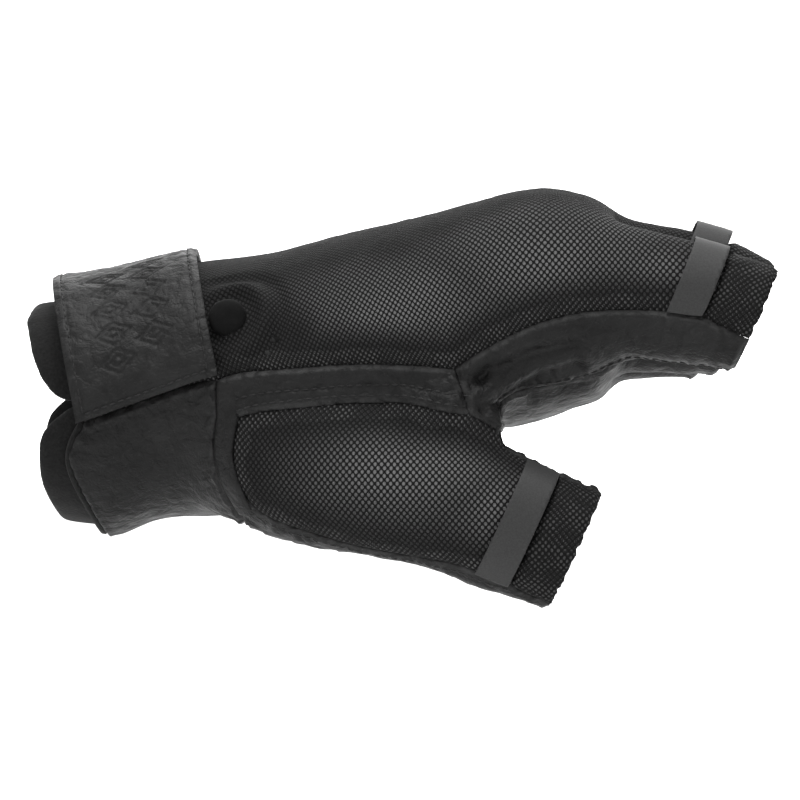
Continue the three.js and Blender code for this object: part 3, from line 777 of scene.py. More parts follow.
    def mark_leather(self, mesh_names: Sequence[str]) -> None:
        """Notes where mesh cloth meets leather.

        Args:
            mesh_names: The panels of mesh cloth.
        """
        cloth = {self.numbers[name] for name in mesh_names}
        meeting = [edge for edge in self.mesh.edges if len(edge.link_faces) == 2
                   and sum(face[self.layer] in cloth for face in edge.link_faces) == 1]
        self.leather_tree = KDTree(len(meeting))
        for index, edge in enumerate(meeting):
            self.leather_tree.insert((edge.verts[0].co + edge.verts[1].co) / 2, index)
        self.leather_tree.balance()

    def label(self) -> None:
        """Marks each face with its panel, by the nearest node of the frame."""
        tree, owners = cad_tree(self.owner)
        bm = self.mesh
        self.layer = bm.faces.layers.int.new("panel")
        for face in bm.faces:
            _, _, index, _ = tree.find_nearest(face.calc_center_median())
            face[self.layer] = owners[index]
        for _ in range(LABEL_ROUNDS):
            changes = []
            for face in bm.faces:
                around = [other[self.layer] for other in neighbours(face)]
                for value in set(around):
                    if value != face[self.layer] and around.count(value) >= MOST_NEIGHBOURS:
                        changes.append((face, value))
            for face, value in changes:
                face[self.layer] = value
        self.drop_crumbs()

    def drop_crumbs(self) -> None:
        """Gives each small, cut-off patch of faces to the panel around it."""
        for patch in patches(self.mesh, self.layer):
            if len(patch) > CRUMB:
                continue
            inside = set(patch)
            around = [other[self.layer] for face in patch for other in neighbours(face)
                      if other not in inside]
            if around:
                value = max(set(around), key=around.count)
                for face in patch:
                    face[self.layer] = value

    def relax(self, rounds: int = 70) -> None:
        """Smooths the surface, and slides the panels' borders into clean lines.

        Args:
            rounds: How many times every point moves.
        """
        bm = self.mesh
        bm.verts.index_update()
        pairs = np.array([[v.index for v in edge.verts] for edge in bm.edges])
        rim = np.array([len(edge.link_faces) < 2 for edge in bm.edges])
        seam = np.array([len(edge.link_faces) == 2 and edge.link_faces[0][self.layer]
                         != edge.link_faces[1][self.layer] for edge in bm.edges])
        points = np.array([vertex.co for vertex in bm.verts])
        on_rim = np.zeros(len(points), bool)
        on_rim[pairs[rim].ravel()] = True
        on_seam = np.zeros(len(points), bool)
        on_seam[pairs[seam].ravel()] = True
        on_seam &= ~on_rim
        square = np.zeros_like(points)
        for index in np.flatnonzero(on_rim):
            square[index] = self.square.get(id(self.nearest_mouth(Vector(points[index]))), (0, 0, 0))
        for turn in range(rounds):
            if turn % 10 == 0:
                for vertex, point in zip(bm.verts, points):
                    vertex.co = point
                bm.normal_update()
                normals = np.array([vertex.normal for vertex in bm.verts])
            move = neighbour_means(points, pairs) - points
            slide = neighbour_means(points, pairs[seam]) - points
            slide -= np.einsum("ij,ij->i", slide, normals)[:, None] * normals
            rise = np.einsum("ij,ij->i", move, normals)[:, None] * normals
            round_rim = neighbour_means(points, pairs[rim]) - points
            round_rim -= np.einsum("ij,ij->i", round_rim, square)[:, None] * square
            move[on_seam] = (slide + rise)[on_seam]
            move[on_rim] = round_rim[on_rim] if turn < RIM_ROUNDS else 0.0
            points += EASE * move
        for vertex, point in zip(bm.verts, points):
            vertex.co = point
        bm.normal_update()

    def seam(self, *names: str, rim: bool = False) -> Line:
        """Finds the longest line where panels meet.

        Args:
            names: The panel on one side, and those on the other side.
            rim: Whether the line is the first panel's free edge instead.

        Returns:
            The line.
        """
        first, *others = (self.numbers[name] for name in names)
        pairs = []
        for edge in self.mesh.edges:
            labels = [face[self.layer] for face in edge.link_faces]
            if rim and labels == [first]:
                pairs.append(edge)
            elif not rim and len(labels) == 2 and first in labels:
                other = labels[0] if labels[1] == first else labels[1]
                if other in others:
                    pairs.append(edge)
        chain = longest_chain(pairs)
        points = np.array([vertex.co for vertex in chain])
        normals = np.array([vertex.normal for vertex in chain])
        return Line(points, normals).resampled(SEAM_PITCH).smoothed(SEAM_ROUNDS)

    def shifted(self, line: Line, distance: float, panel: str) -> Line:
        """Moves a line sideways over the surface.

        Args:
            line: The line.
            distance: How far it moves.
            panel: The panel that it moves into.

        Returns:
            The new line.
        """
        sides = line.sides()
        votes = 0
        for point, side in zip(line.points, sides):
            for sign in (1, -1):
                _, _, index, _ = self.tree.find_nearest(Vector(point + sign * side * VOTE_STEP))
                if self.mesh.faces[index][self.layer] == self.numbers[panel]:
                    votes += sign
        sign = 1 if votes >= 0 else -1
        found = [self.tree.find_nearest(Vector(p + sign * s * distance))
                 for p, s in zip(line.points, sides)]
        points = np.array([place for place, _, _, _ in found])
        normals = np.array([normal for _, normal, _, _ in found])
        return Line(points, normals).smoothed(SHIFTED_ROUNDS)

    def piece(self, panel: str, keep: Callable[[Vector], bool] | None = None) -> bmesh.types.BMesh:
        """Copies part of the skin.

        Args:
            panel: The panel that it is part of.
            keep: Tells from a face's centre whether it belongs to the part, if not all do.

        Returns:
            The part, in one sheet.
        """
        part = self.mesh.copy()
        layer = part.faces.layers.int["panel"]
        number = self.numbers[panel]
        drop = [face for face in part.faces if face[layer] != number
                or keep is not None and not keep(face.calc_center_median())]
        bmesh.ops.delete(part, geom=drop, context="FACES")
        keep_largest(part)
        part.normal_update()
        log.info("%s: %d faces of the skin", panel, len(part.faces))
        return part


def sees_out(face: bmesh.types.BMFace, walls: BVHTree) -> bool:
    """Tells whether a face of a closed surface looks out into the open somewhere.

    Args:
        face: The face.
        walls: The whole surface.

    Returns:
        Whether a straight line from the face gets past the walls.
    """
    start = face.calc_center_median() + face.normal * 0.3 * MM
    if walls.ray_cast(start, face.normal)[0] is None:
        return True
    frame_of = face.normal.to_track_quat("Z", "Y")
    return any(walls.ray_cast(start, frame_of @ way)[0] is None for way in FAN)


def neighbours(face: bmesh.types.BMFace) -> list[bmesh.types.BMFace]:
    """Finds the faces that share an edge with a face."""
    return [other for edge in face.edges for other in edge.link_faces if other is not face]


def slant(points: np.ndarray, turns: np.ndarray) -> float:
    """Finds the direction in side view in which points reach least far.

    Args:
        points: The points.
        turns: The directions to try, as angles up from the X axis.

    Returns:
        The best of the angles.
    """
    spans = [np.ptp(points[:, 0] * math.cos(turn) + points[:, 2] * math.sin(turn)) for turn in turns]
    return float(turns[int(np.argmin(spans))])


def lengthways(node: str) -> tuple[Vector, float, float]:
    """Reads from the frame which way a band across a stall faces.

    Args:
        node: The band's node.

    Returns:
        The direction towards the fingertip, and where the band starts and ends along it.
    """
    points = np.array([vertex.co for vertex in frame["nodes"][node].data.vertices])
    turn = slant(points, -np.radians(np.arange(0, STEEPEST_STALL, TURN_STEP)))
    way = Vector((math.cos(turn), 0, math.sin(turn)))
    places = points @ np.array(way)
    return way, places.min(), places.max()


def connected(items: Iterable, near: Callable) -> list[list]:
    """Sorts parts of a mesh into groups that hang together.

    Args:
        items: The parts: faces or edges.
        near: Gives the parts next to one.

    Returns:
        The groups, largest first.
    """
    items = list(items)
    left = set(items)
    groups = []
    for start in items:
        if start not in left:
            continue
        left.remove(start)
        stack, group = [start], []
        while stack:
            item = stack.pop()
            group.append(item)
            for other in near(item):
                if other in left:
                    left.remove(other)
                    stack.append(other)
        groups.append(group)
    return sorted(groups, key=len, reverse=True)


def loops_of(edges: Iterable[bmesh.types.BMEdge]) -> list[list[bmesh.types.BMEdge]]:
    """Sorts border edges into connected loops.

    Args:
        edges: The edges.

    Returns:
        The edges of each loop, shortest first.
    """
    return connected(edges, lambda edge: [
        other for vertex in edge.verts for other in vertex.link_edges])[::-1]


def cad_tree(owner: dict[str, int]) -> tuple[BVHTree, list[int]]:
    """Makes a search tree of some of the frame's nodes.

    Args:
        owner: The label of each node.

    Returns:
        The tree, and the label of each of its faces.
    """
    joined = bmesh.new()
    owners: list[int] = []
    for name, label in owner.items():
        mesh = frame["nodes"][name].data
        joined.from_mesh(mesh)
        owners += [label] * len(mesh.polygons)
    tree = BVHTree.FromBMesh(joined)
    joined.free()
    return tree, owners


def patches(bm: bmesh.types.BMesh, layer: object | None = None) -> list[list[bmesh.types.BMFace]]:
    """Splits a mesh into connected patches.

    Args:
        bm: The mesh.
        layer: A face layer whose value has to be the same all over a patch, if any.

    Returns:
        The patches, largest first.
    """
    return connected(bm.faces, lambda face: [
        other for other in neighbours(face) if layer is None or other[layer] == face[layer]])


def keep_largest(bm: bmesh.types.BMesh) -> None:
    """Deletes every patch of a mesh but the largest."""
    loose = [face for patch in patches(bm)[1:] for face in patch]
    bmesh.ops.delete(bm, geom=loose, context="FACES")
    bm.verts.ensure_lookup_table()
    bm.faces.ensure_lookup_table()


def neighbour_means(points: np.ndarray, pairs: np.ndarray) -> np.ndarray:
    """Averages the neighbours of every point.

    Args:
        points: The points.
        pairs: The neighbours, two by two.

    Returns:
        The averages, and the point itself where it has no neighbour.
    """
    total = np.zeros_like(points)
    count = np.zeros(len(points))
    for a, b in ((0, 1), (1, 0)):
        count += np.bincount(pairs[:, a], minlength=len(points))
        for k in range(3):
            total[:, k] += np.bincount(pairs[:, a], weights=points[pairs[:, b], k], minlength=len(points))
    alone = count == 0
    total[alone] = points[alone]
    count[alone] = 1
    return total / count[:, None]


def joined_ends(edges: Iterable[bmesh.types.BMEdge]) -> dict[bmesh.types.BMVert, list]:
    """Finds, for each vertex of some edges, the vertices that they join it to."""
    links: dict[bmesh.types.BMVert, list[bmesh.types.BMVert]] = {}
    for edge in edges:
        a, b = edge.verts
        links.setdefault(a, []).append(b)
        links.setdefault(b, []).append(a)
    return links


def longest_chain(edges: Iterable[bmesh.types.BMEdge]) -> list[bmesh.types.BMVert]:
    """Puts edges in order, end to end.

    Args:
        edges: The edges.

    Returns:
        The vertices of the longest run.
    """
    links = joined_ends(edges)
    best: list[bmesh.types.BMVert] = []
    used: set[bmesh.types.BMVert] = set()
    ends = [vertex for vertex, near in links.items() if len(near) == 1]
    for start in ends + list(links):
        if start in used:
            continue
        chain = [start]
        used.add(start)
        while True:
            onward = [near for near in links[chain[-1]] if near not in used]
            if not onward:
                break
            chain.append(onward[0])
            used.add(onward[0])
        if len(chain) > len(best):
            best = chain
    return best


# ---------------------------------------------------------------- panels
def smoothstep(value: np.ndarray | float, low: float, high: float) -> np.ndarray | float:
    """Rises smoothly from 0 at low to 1 at high."""
    share = np.clip((value - low) / (high - low), 0, 1)
    return share * share * (3 - 2 * share)


def bell(value: float, width: float) -> float:
    """Gives 1 at 0, falling away on both sides."""
    return math.exp(-(value / width) ** 2)


FOLD_RIDGE = 0.45
RIDGE_PLACE = 2.1
FOLD_FADE = 3 * MM
FOLD_SIDE = 0.1
GROOVE_WIDTH = 1.5 * MM
LIFT_WIDTH = 1.6 * MM
# Where the painted highlight along a leather border lies, and how wide it is.
EDGE_HIGHLIGHT_PLACE = 0.6 * MM
EDGE_HIGHLIGHT_WIDTH = 0.7 * MM
GATHER_STEP = 2.3 * MM
GATHER_FADE = 1.2 * MM
PUCKER_STEP = 1.9 * MM
TURNED_PLACE = 1.2 * MM
TURNED_WIDTH = 0.8 * MM
SWELL_FADE = 4 * MM
FRAY_WIDTH = 1.2 * MM
# How far from the border the pull, and the painted light on the knit with it, starts and reaches full
# strength.
PULL_AND_LIGHT_START, PULL_AND_LIGHT_END = 3 * MM, 12 * MM


@dataclass(frozen=True)
class Fold:
    """A pressed-in fold of the cloth, along a line in side view, on the thumb's side."""

    route: tuple[tuple[float, float], ...]
    depth: float
    width: float

    def height(self, x: float, z: float) -> float:
        """Gives how far the fold moves the surface at a place in side view."""
        near = min(self.distance(x, z, a, b) for a, b in zip(self.route, self.route[1:]))
        ridge = FOLD_RIDGE * self.depth * bell(near - RIDGE_PLACE * self.width, self.width)
        return -self.depth * bell(near, self.width) + ridge

    @staticmethod
    def distance(x: float, z: float, a: tuple[float, float], b: tuple[float, float]) -> float:
        """Measures from a place to one stretch of the route."""
        way_x, way_z = b[0] - a[0], b[1] - a[1]
        share = ((x - a[0]) * way_x + (z - a[1]) * way_z) / (way_x ** 2 + way_z ** 2)
        share = min(1.0, max(0.0, share))
        return math.hypot(x - a[0] - share * way_x, z - a[1] - share * way_z)


@dataclass
class Panel:
    """One cut piece of the glove: its cloth, its thickness and how it wrinkles."""

    name: str
    nodes: tuple[str, ...]
    bend: Bend
    finish: str
    slot: str
    thickness: float
    lift: float = 0.0
    groove: float = GROOVE
    gather: float = 0.0
    gather_reach: float = 7 * MM
    swell: float = 0.0
    swell_size: float = 11 * MM
    folds: tuple[Fold, ...] = ()
    crease_round: Vector | None = None
    pulls_and_light: tuple[tuple[Vector, Vector], ...] = ()
    turned: float = 0.0
    doubled: float = 0.0
    finer: bool = False
    ragged: float = 0.0
    surface: BVHTree | None = field(default=None, repr=False)

    def build(self, skin: Skin, channels: KDTree,
              finishes: dict[str, bpy.types.Material]) -> None:
        """Cuts the panel from the skin, shapes it and gives it its thickness.

        Args:
            skin: The glove's skin.
            channels: The points of the rows of stitches, which press the cloth in.
            finishes: The materials by name.
        """
        sheet = skin.piece(self.name)
        if self.finer:
            bmesh.ops.subdivide_edges(sheet, edges=sheet.edges, cuts=1, use_grid_fill=True)
            smooth_points(sheet, sheet.verts)
            sheet.normal_update()
        self.shape(sheet, channels, sum(map(ord, self.name)), skin)
        self.surface = BVHTree.FromBMesh(sheet)
        piece = object_from(sheet, self.name)
        unwrap(piece)
        thicken(piece, self.thickness)
        fit(piece, finishes[self.finish], self.bend, self.slot, *self.nodes)

    def stretch_and_light_at(self, place: Vector, seam: float) -> float:
        """Gives how far open the knit is pulled at a place, with painted light on the bulges that face
        the camera.
        """
        pulls_and_light = [stretched_and_lit(place, seam, middle, reach) for middle, reach in self.pulls_and_light]
        return max(pulls_and_light, default=0.0)

    def shape(self, sheet: bmesh.types.BMesh, channels: KDTree, seed: int, skin: Skin) -> None:
        """Moves the sheet's points for seams, stitches, wrinkles and folds.

        Args:
            sheet: The panel's mesh.
            channels: The points of the rows of stitches.
            seed: What makes this panel's wrinkles its own.
            skin: The glove's skin.
        """
        rim = free_edges(sheet)
        border, travel = border_tree(rim)
        shift = Vector((seed * 0.37, seed * 0.11, 0))
        layer = sheet.verts.layers.float.new("stretch_and_painted_light")
        edges = sheet.verts.layers.float.new("edge")
        double = sheet.verts.layers.float.new("doubled")
        moves = []
        for vertex in sheet.verts:
            _, index, distance = border.find(vertex.co)
            # Partly real, partly painted light: how far the knit is pulled open, painted lighter on the
            # bulges that face the camera.
            vertex[layer] = self.stretch_and_light_at(vertex.co, distance)
            # Painted highlight along the panel's border, which the leather reads as its edge attribute.
            vertex[edges] = bell(distance - EDGE_HIGHLIGHT_PLACE, EDGE_HIGHLIGHT_WIDTH)
            if self.doubled:
                leather = skin.leather_tree.find(vertex.co)[2]
                wide = self.doubled * (1 + 0.35 * noise.noise(vertex.co / (5 * MM)))
                vertex[double] = 1 - smoothstep(leather, wide - 0.5 * MM, wide + 0.5 * MM)
            x, _, z = vertex.co
            height = self.lift * smoothstep(distance, 0, LIFT_WIDTH)
            height -= self.groove * (1 - smoothstep(distance, 0, GROOVE_WIDTH))
            if self.gather:
                along = travel[index] / GATHER_STEP
                ripple = noise.noise(Vector((along, distance / (9 * MM), seed)))
                fade = math.exp(-distance / self.gather_reach) * smoothstep(distance, 0, GATHER_FADE)
                height += self.gather * ripple * 2 * fade
            if self.turned:
                pucker = 1 + 1.2 * noise.noise(Vector((travel[index] / PUCKER_STEP, seed, 0)))
                height += self.turned * pucker * bell(distance - TURNED_PLACE, TURNED_WIDTH)
            if self.swell:
                wave = noise.noise(vertex.co / self.swell_size + shift)
                wave += 0.5 * noise.noise(vertex.co * 2.3 / self.swell_size + shift)
                height += self.swell * wave * smoothstep(distance, 0, SWELL_FADE)
            if vertex.normal.y < FOLD_SIDE:
                folded = sum(fold.height(x, z) for fold in self.folds)
                height += folded * smoothstep(distance, 0, FOLD_FADE)
            if self.crease_round:
                height += knob_crease(vertex.co - self.crease_round)
            _, _, stitch = channels.find(vertex.co)
            height -= CHANNEL_DEPTH * bell(stitch, CHANNEL_WIDTH)
            move = vertex.normal * height
            if self.ragged:
                frays = noise.noise(vertex.co / (1.1 * MM)) + noise.noise(vertex.co / (2.7 * MM) + shift)
                move += skin.onward(vertex.co) * self.ragged * frays * bell(distance, FRAY_WIDTH)
            moves.append(move)
        for vertex, move in zip(sheet.verts, moves):
            vertex.co += move
        sheet.normal_update()


def stretched_and_lit(place: Vector, seam: float, middle: Vector, reach: Vector) -> float:
    """Gives how far open the knit is pulled at a place, which also paints the cells lighter on the bulges
    that face the camera.

    Args:
        place: The place on the cloth.
        seam: Its distance from the cloth's border.
        middle: Where the cloth is pulled most, and its cells painted lightest.
        reach: How far the pull carries, along each axis.

    Returns:
        From 0 for slack, darker cells, to 1 for cells pulled fully open and painted lightest.
    """
    away = Vector([(a - b) / c for a, b, c in zip(place, middle, reach)])
    return math.exp(-away.length_squared) * smoothstep(seam, PULL_AND_LIGHT_START, PULL_AND_LIGHT_END)


KNOB_REACH = 12 * MM
KNOB_PULL = math.radians(25)


def knob_crease(away: Vector) -> float:
    """Gives the height of the folds round the knob beside the strap.

    Args:
        away: The place, seen from the knob.

    Returns:
        How far the cloth moves out.
    """
    if away.y > KNOB_REACH:
        return 0.0
    radius = away.length
    towards = math.atan2(away.z, away.x)
    strength = 0.5 + 0.5 * math.cos(towards - KNOB_PULL)
    height = -0.5 * MM * bell(radius - 5.6 * MM, 1.6 * MM)
    height += 1.3 * MM * strength * bell(radius - 9.3 * MM, 1.7 * MM)
    return height - 1.0 * MM * strength * bell(radius - 13.2 * MM, 1.8 * MM)


def border_tree(edges: Sequence[bmesh.types.BMEdge]) -> tuple[KDTree, list[float]]:
    """Makes a search tree of a border.

    Args:
        edges: The border's edges.

    Returns:
        The tree, and each point's distance along the border.
    """
    links = joined_ends(edges)
    order: list[tuple[bmesh.types.BMVert, float]] = []
    used: set[bmesh.types.BMVert] = set()
    for start in links:
        here, travelled = start, 0.0
        while here is not None and here not in used:
            used.add(here)
            order.append((here, travelled))
            onward = next((near for near in links[here] if near not in used), None)
            if onward is not None:
                travelled += (onward.co - here.co).length
            here = onward
    tree = KDTree(len(order))
    for index, (vertex, _) in enumerate(order):
        tree.insert(vertex.co, index)
    tree.balance()
    return tree, [travelled for _, travelled in order]


def unwrap(piece: bpy.types.Object) -> None:
    """Lays a sheet flat for its weave: true to size, with U along the glove.

    Args:
        piece: A sheet without a thickness.
    """
    bpy.context.view_layer.objects.active = piece
    piece.select_set(True)
    bpy.ops.object.mode_set(mode="EDIT")
    bpy.ops.mesh.select_all(action="SELECT")
    bpy.ops.uv.unwrap(method="CONFORMAL", margin=0.0)
    bpy.ops.object.mode_set(mode="OBJECT")
    piece.select_set(False)
    mesh = piece.data
    count = len(mesh.loops)
    flat = np.empty(count * 2)
    mesh.uv_layers.active.data.foreach_get("uv", flat)
    flat = flat.reshape(-1, 2)
    corners = np.empty(count, int)
    mesh.loops.foreach_get("vertex_index", corners)
    solid = np.empty(len(mesh.vertices) * 3)
    mesh.vertices.foreach_get("co", solid)
    solid = solid.reshape(-1, 3)[corners]
    starts = np.empty(len(mesh.polygons), int)
    mesh.polygons.foreach_get("loop_start", starts)
    first, second = flat[starts + 1] - flat[starts], flat[starts + 2] - flat[starts]
    edge_one, edge_two = solid[starts + 1] - solid[starts], solid[starts + 2] - solid[starts]
    flat_area = np.abs(first[:, 0] * second[:, 1] - first[:, 1] * second[:, 0]).sum()
    true_area = np.linalg.norm(np.cross(edge_one, edge_two), axis=1).sum()
    scale = math.sqrt(true_area / flat_area)
    slope, _, _, _ = np.linalg.lstsq(
        np.concatenate([first, second]) * scale,
        np.concatenate([edge_one[:, 0], edge_two[:, 0]]), rcond=None)
    turn = -math.atan2(slope[1], slope[0])
    spin = np.array([[math.cos(turn), math.sin(turn)], [-math.sin(turn), math.cos(turn)]])
    mesh.uv_layers.active.data.foreach_set("uv", (flat * scale @ spin).ravel())


# ---------------------------------------------------------------- stitches, grids and cords
def grid(columns: int, rows: int, place: Callable[[float, float], Vector], name: str,
         size: tuple[float, float] = (1.0, 1.0)) -> bpy.types.Object:
    """Shapes a plain grid into a sheet.

    Args:
        columns: Faces along U.
        rows: Faces along V.
        place: Gives the place of each point from its U and V, both from 0 to 1.
        name: The object's name.
        size: The sheet's width and length, for its weave.

    Returns:
        The sheet.
    """
    bm = bmesh.new()
    layer = bm.loops.layers.uv.new("weave")
    bmesh.ops.create_grid(bm, x_segments=columns, y_segments=rows, size=1, calc_uvs=True)
    for face in bm.faces:
        for loop in face.loops:
            u, v = loop[layer].uv
            loop[layer].uv = (u * size[0], v * size[1])
    for vertex in bm.verts:
        vertex.co = place((vertex.co.x + 1) / 2, (vertex.co.y + 1) / 2)
    bm.normal_update()
    return object_from(bm, name)


def turn_out(piece: bpy.types.Object, inside: Vector) -> None:
    """Turns a sheet's faces away from a point inside it."""
    bm = bmesh.new()
    bm.from_mesh(piece.data)
    votes = sum((face.calc_center_median() - inside).dot(face.normal) > 0 for face in bm.faces)
    if votes * 2 < len(bm.faces):
        bmesh.ops.reverse_faces(bm, faces=bm.faces)
    bm.to_mesh(piece.data)
    bm.free()


def cord(points: Sequence[Vector], radius: float, name: str) -> bpy.types.Object:
    """Makes a round cord along points.

    Args:
        points: The points that it follows.
        radius: Its radius.
        name: The object's name.

    Returns:
        The cord, as a closed mesh.
    """
    curve = bpy.data.curves.new(name, "CURVE")
    curve.dimensions = "3D"
    curve.bevel_depth = radius
    curve.bevel_resolution = 2
    curve.use_fill_caps = True
    curve.resolution_u = 2
    spline = curve.splines.new("POLY")
    spline.points.add(len(points) - 1)
    for slot, point in zip(spline.points, points):
        slot.co = (*point, 1)
    holder = bpy.data.objects.new(name, curve)
    bpy.context.scene.collection.objects.link(holder)
    graph = bpy.context.evaluated_depsgraph_get()
    mesh = bpy.data.meshes.new_from_object(holder.evaluated_get(graph))
    bpy.data.objects.remove(holder)
    bm = bmesh.new()
    bm.from_mesh(mesh)
    bmesh.ops.remove_doubles(bm, verts=bm.verts, dist=WELD)
    bmesh.ops.recalc_face_normals(bm, faces=bm.faces)
    bpy.data.meshes.remove(mesh)
    return object_from(bm, name)


@dataclass
class Stitching:
    """Rows of machine stitches on one body, with the cloth that they lie on."""

    name: str
    bend: Bend
    slot: str
    rows: list[Line] = field(default_factory=list)

    def build(self, surfaces: Sequence[BVHTree], material: bpy.types.Material) -> None:
        """Sews the rows, as one piece.

        Args:
            surfaces: The cloths that the stitches may lie on.
            material: The thread.
        """
        stitch = bmesh.new()
        bmesh.ops.create_uvsphere(stitch, u_segments=7, v_segments=5, radius=0.5)
        bmesh.ops.rotate(stitch, verts=stitch.verts, matrix=Matrix.Rotation(math.pi / 2, 3, "Y"))
        bmesh.ops.scale(stitch, verts=stitch.verts, vec=(STITCH_LENGTH, STITCH_WIDTH, STITCH_WIDTH))
        pattern = bpy.data.meshes.new(self.name)
        stitch.to_mesh(pattern)
        stitch.free()
        seam = bmesh.new()
        for row in self.rows:
            even = row.resampled(STITCH_PITCH)
            for point, way in zip(even.points[:-1], even.tangents()[:-1]):
                centre = Vector(point) + Vector(way) * STITCH_PITCH / 2
                place, normal = nearest(surfaces, centre)
                first = len(seam.verts)
                seam.from_mesh(pattern)
                seam.verts.ensure_lookup_table()
                along = (Vector(way) - Vector(way).dot(normal) * normal).normalized()
                turned = Matrix((along, normal.cross(along), normal)).transposed().to_4x4()
                turned.translation = place + normal * STITCH_RISE
                bmesh.ops.transform(seam, matrix=turned, verts=seam.verts[first:])
        bpy.data.meshes.remove(pattern)
        piece = object_from(seam, self.name)
        fit(piece, material, self.bend, self.slot)


def nearest(surfaces: Sequence[BVHTree], point: Vector) -> tuple[Vector, Vector]:
    """Finds the nearest place on several surfaces, and the normal there."""
    found = [surface.find_nearest(point) for surface in surfaces]
    place, normal, _, _ = min((hit for hit in found if hit[0] is not None), key=lambda hit: hit[3])
    return place, normal


def points_tree(lines: Sequence[Line]) -> KDTree:
    """Makes a search tree of lines."""
    points = [point for line in lines for point in line.resampled(CHANNEL_PITCH).points]
    tree = KDTree(len(points))
    for index, point in enumerate(points):
        tree.insert(Vector(point), index)
    tree.balance()
    return tree


# ---------------------------------------------------------------- the strap
@dataclass
class Strap:
    """The wrist strap: embossed leather over a foam backing, sewn down at its lower end."""

    fineness: float = 0.42 * MM
    leather: float = 1.5 * MM
    backing: float = 1.7 * MM
    backing_inset: float = 0.9 * MM
    tape: float = 0.9 * MM
    edge_round: float = 1.1 * MM
    stitch_inset: float = 2.3 * MM
    emboss: float = 0.3 * MM
    lozenge: tuple[float, float] = (9.5 * MM, 9.0 * MM)
    line: float = 0.55 * MM
    reach: float = 118 * MM
    lozenges: int = 5
    core_z: float = 3 * MM
    margin: float = 0.02
    samples: int = 25
    evening: int = 60

    def __post_init__(self) -> None:
        """Reads the strap's lean, width and ends from the frame."""
        mesh = frame["nodes"]["strap_leather"].data
        points = np.array([vertex.co for vertex in mesh.vertices])
        self.lean = slant(points, np.radians(np.arange(0, STEEPEST_STRAP, TURN_STEP)))
        across = points[:, 0] * math.cos(self.lean) + points[:, 2] * math.sin(self.lean)
        self.low, self.high = across.min(), across.max()
        self.width = self.high - self.low
        self.tree, _ = cad_tree({"strap_leather": 0})
        self.core = Vector((self.low + self.width / 2, 0, self.core_z))
        self.shares = np.linspace(self.margin, 1 - self.margin, self.samples)
        self.turns = [self.range(share) for share in self.shares]
        self.sample()

    def ray(self, share: float, turn: float) -> Vector | None:
        """Finds the outside of the frame's strap.

        Args:
            share: The place across the strap, from 0 at the cuff's mouth to 1.
            turn: The angle round the wrist.

        Returns:
            The place, or nothing past an end of the strap.
        """
        slope = math.tan(self.lean)
        x = (self.low + share * self.width) / math.cos(self.lean) - slope * self.core_z
        way = Vector((-slope * math.sin(turn), math.cos(turn), math.sin(turn)))
        start = Vector((x, 0, self.core_z)) + way * 90 * MM
        place, _, _, _ = self.tree.ray_cast(start, -way, 80 * MM)
        return place

    def range(self, share: float) -> tuple[float, float]:
        """Finds the angles where the strap starts and ends, at one place across it."""
        turns = np.radians(np.arange(-40, 225, 0.5))
        hits = [turn for turn in turns if self.ray(share, turn) is not None]
        return hits[0], hits[-1]

    def sample(self) -> None:
        """Samples the strap's outside, evened out, as a table of places along and across."""
        self.across = across = round(self.width / self.fineness)
        self.along = along = round(self.reach / self.fineness)
        self.table = table = np.zeros((along + 1, across + 1, 3))
        for j in range(across + 1):
            share = min(1 - self.margin, max(self.margin, j / across))
            start, end = (np.interp(share, self.shares, [turn[k] for turn in self.turns])
                          for k in (1, 0))
            for i in range(along + 1):
                place = self.ray(share, start + (end - start) * i / along)
                table[i, j] = place if place is not None else table[i - 1, j]
        for _ in range(self.evening):
            table[1:-1] += 0.5 * ((table[:-2] + table[2:]) / 2 - table[1:-1])
            table[:, 1:-1] += 0.25 * ((table[:, :-2] + table[:, 2:]) / 2 - table[:, 1:-1])
        way = np.array([math.cos(self.lean), 0, math.sin(self.lean)])
        for j in range(across + 1):
            wanted = self.low + self.width * j / across
            table[:, j] += (wanted - table[:, j] @ way)[:, None] * way

    def relief(self, u: float, v: float) -> float:
        """Gives the height of the strap's face: its turned edges, stitch channels and embossing.

        Args:
            u: The distance across the strap.
            v: The distance along it, from its sewn end.

        Returns:
            How far the face stands out.
        """
        side = min(u, self.width - u)
        end = min(v, self.reach - v)
        edge = min(side, end)
        height = -0.7 * MM * bell(edge, self.edge_round)
        height -= 0.35 * MM * bell(side - self.stitch_inset, 0.6 * MM)
        height -= 0.35 * MM * bell(end - self.stitch_inset, 0.6 * MM)
        height += 0.25 * MM * noise.noise(Vector((u / (5 * MM), v / (7 * MM), 3.1)))
        height += 0.12 * MM * noise.noise(Vector((u / (1.6 * MM), v / (2.6 * MM), 8.4)))
        return height - self.emboss * self.embossing(u, v)

    def embossing(self, u: float, v: float) -> float:
        """Gives the pressed pattern: two rows of lozenges, each with a smaller one inside.

        Args:
            u: The distance across the strap.
            v: The distance along it.

        Returns:
            From 0 for plain to 1 for fully pressed in.
        """
        wide, tall = self.lozenge
        rows = 2
        first_u = (self.width - rows * wide) / 2
        first_v = 9 * MM
        row, place = divmod(u - first_u, wide)
        turn, travel = divmod(v - first_v - (row % 2) * tall / 2, tall)
        if not (0 <= row < rows and 0 <= turn < self.lozenges):
            return 0.0
        share = abs(place / wide - 0.5) * 2 + abs(travel / tall - 0.5) * 2
        away = min(abs(share - 0.86), abs(share - 0.36)) * wide / 2 / math.sqrt(2)
        return 1 - smoothstep(away, self.line * 0.5, self.line * 1.1)

    def face(self, u: float, v: float) -> Vector:
        """Finds a place on the evened-out surface."""
        return Vector(self.table[round(v * self.along), round(u * self.across)])

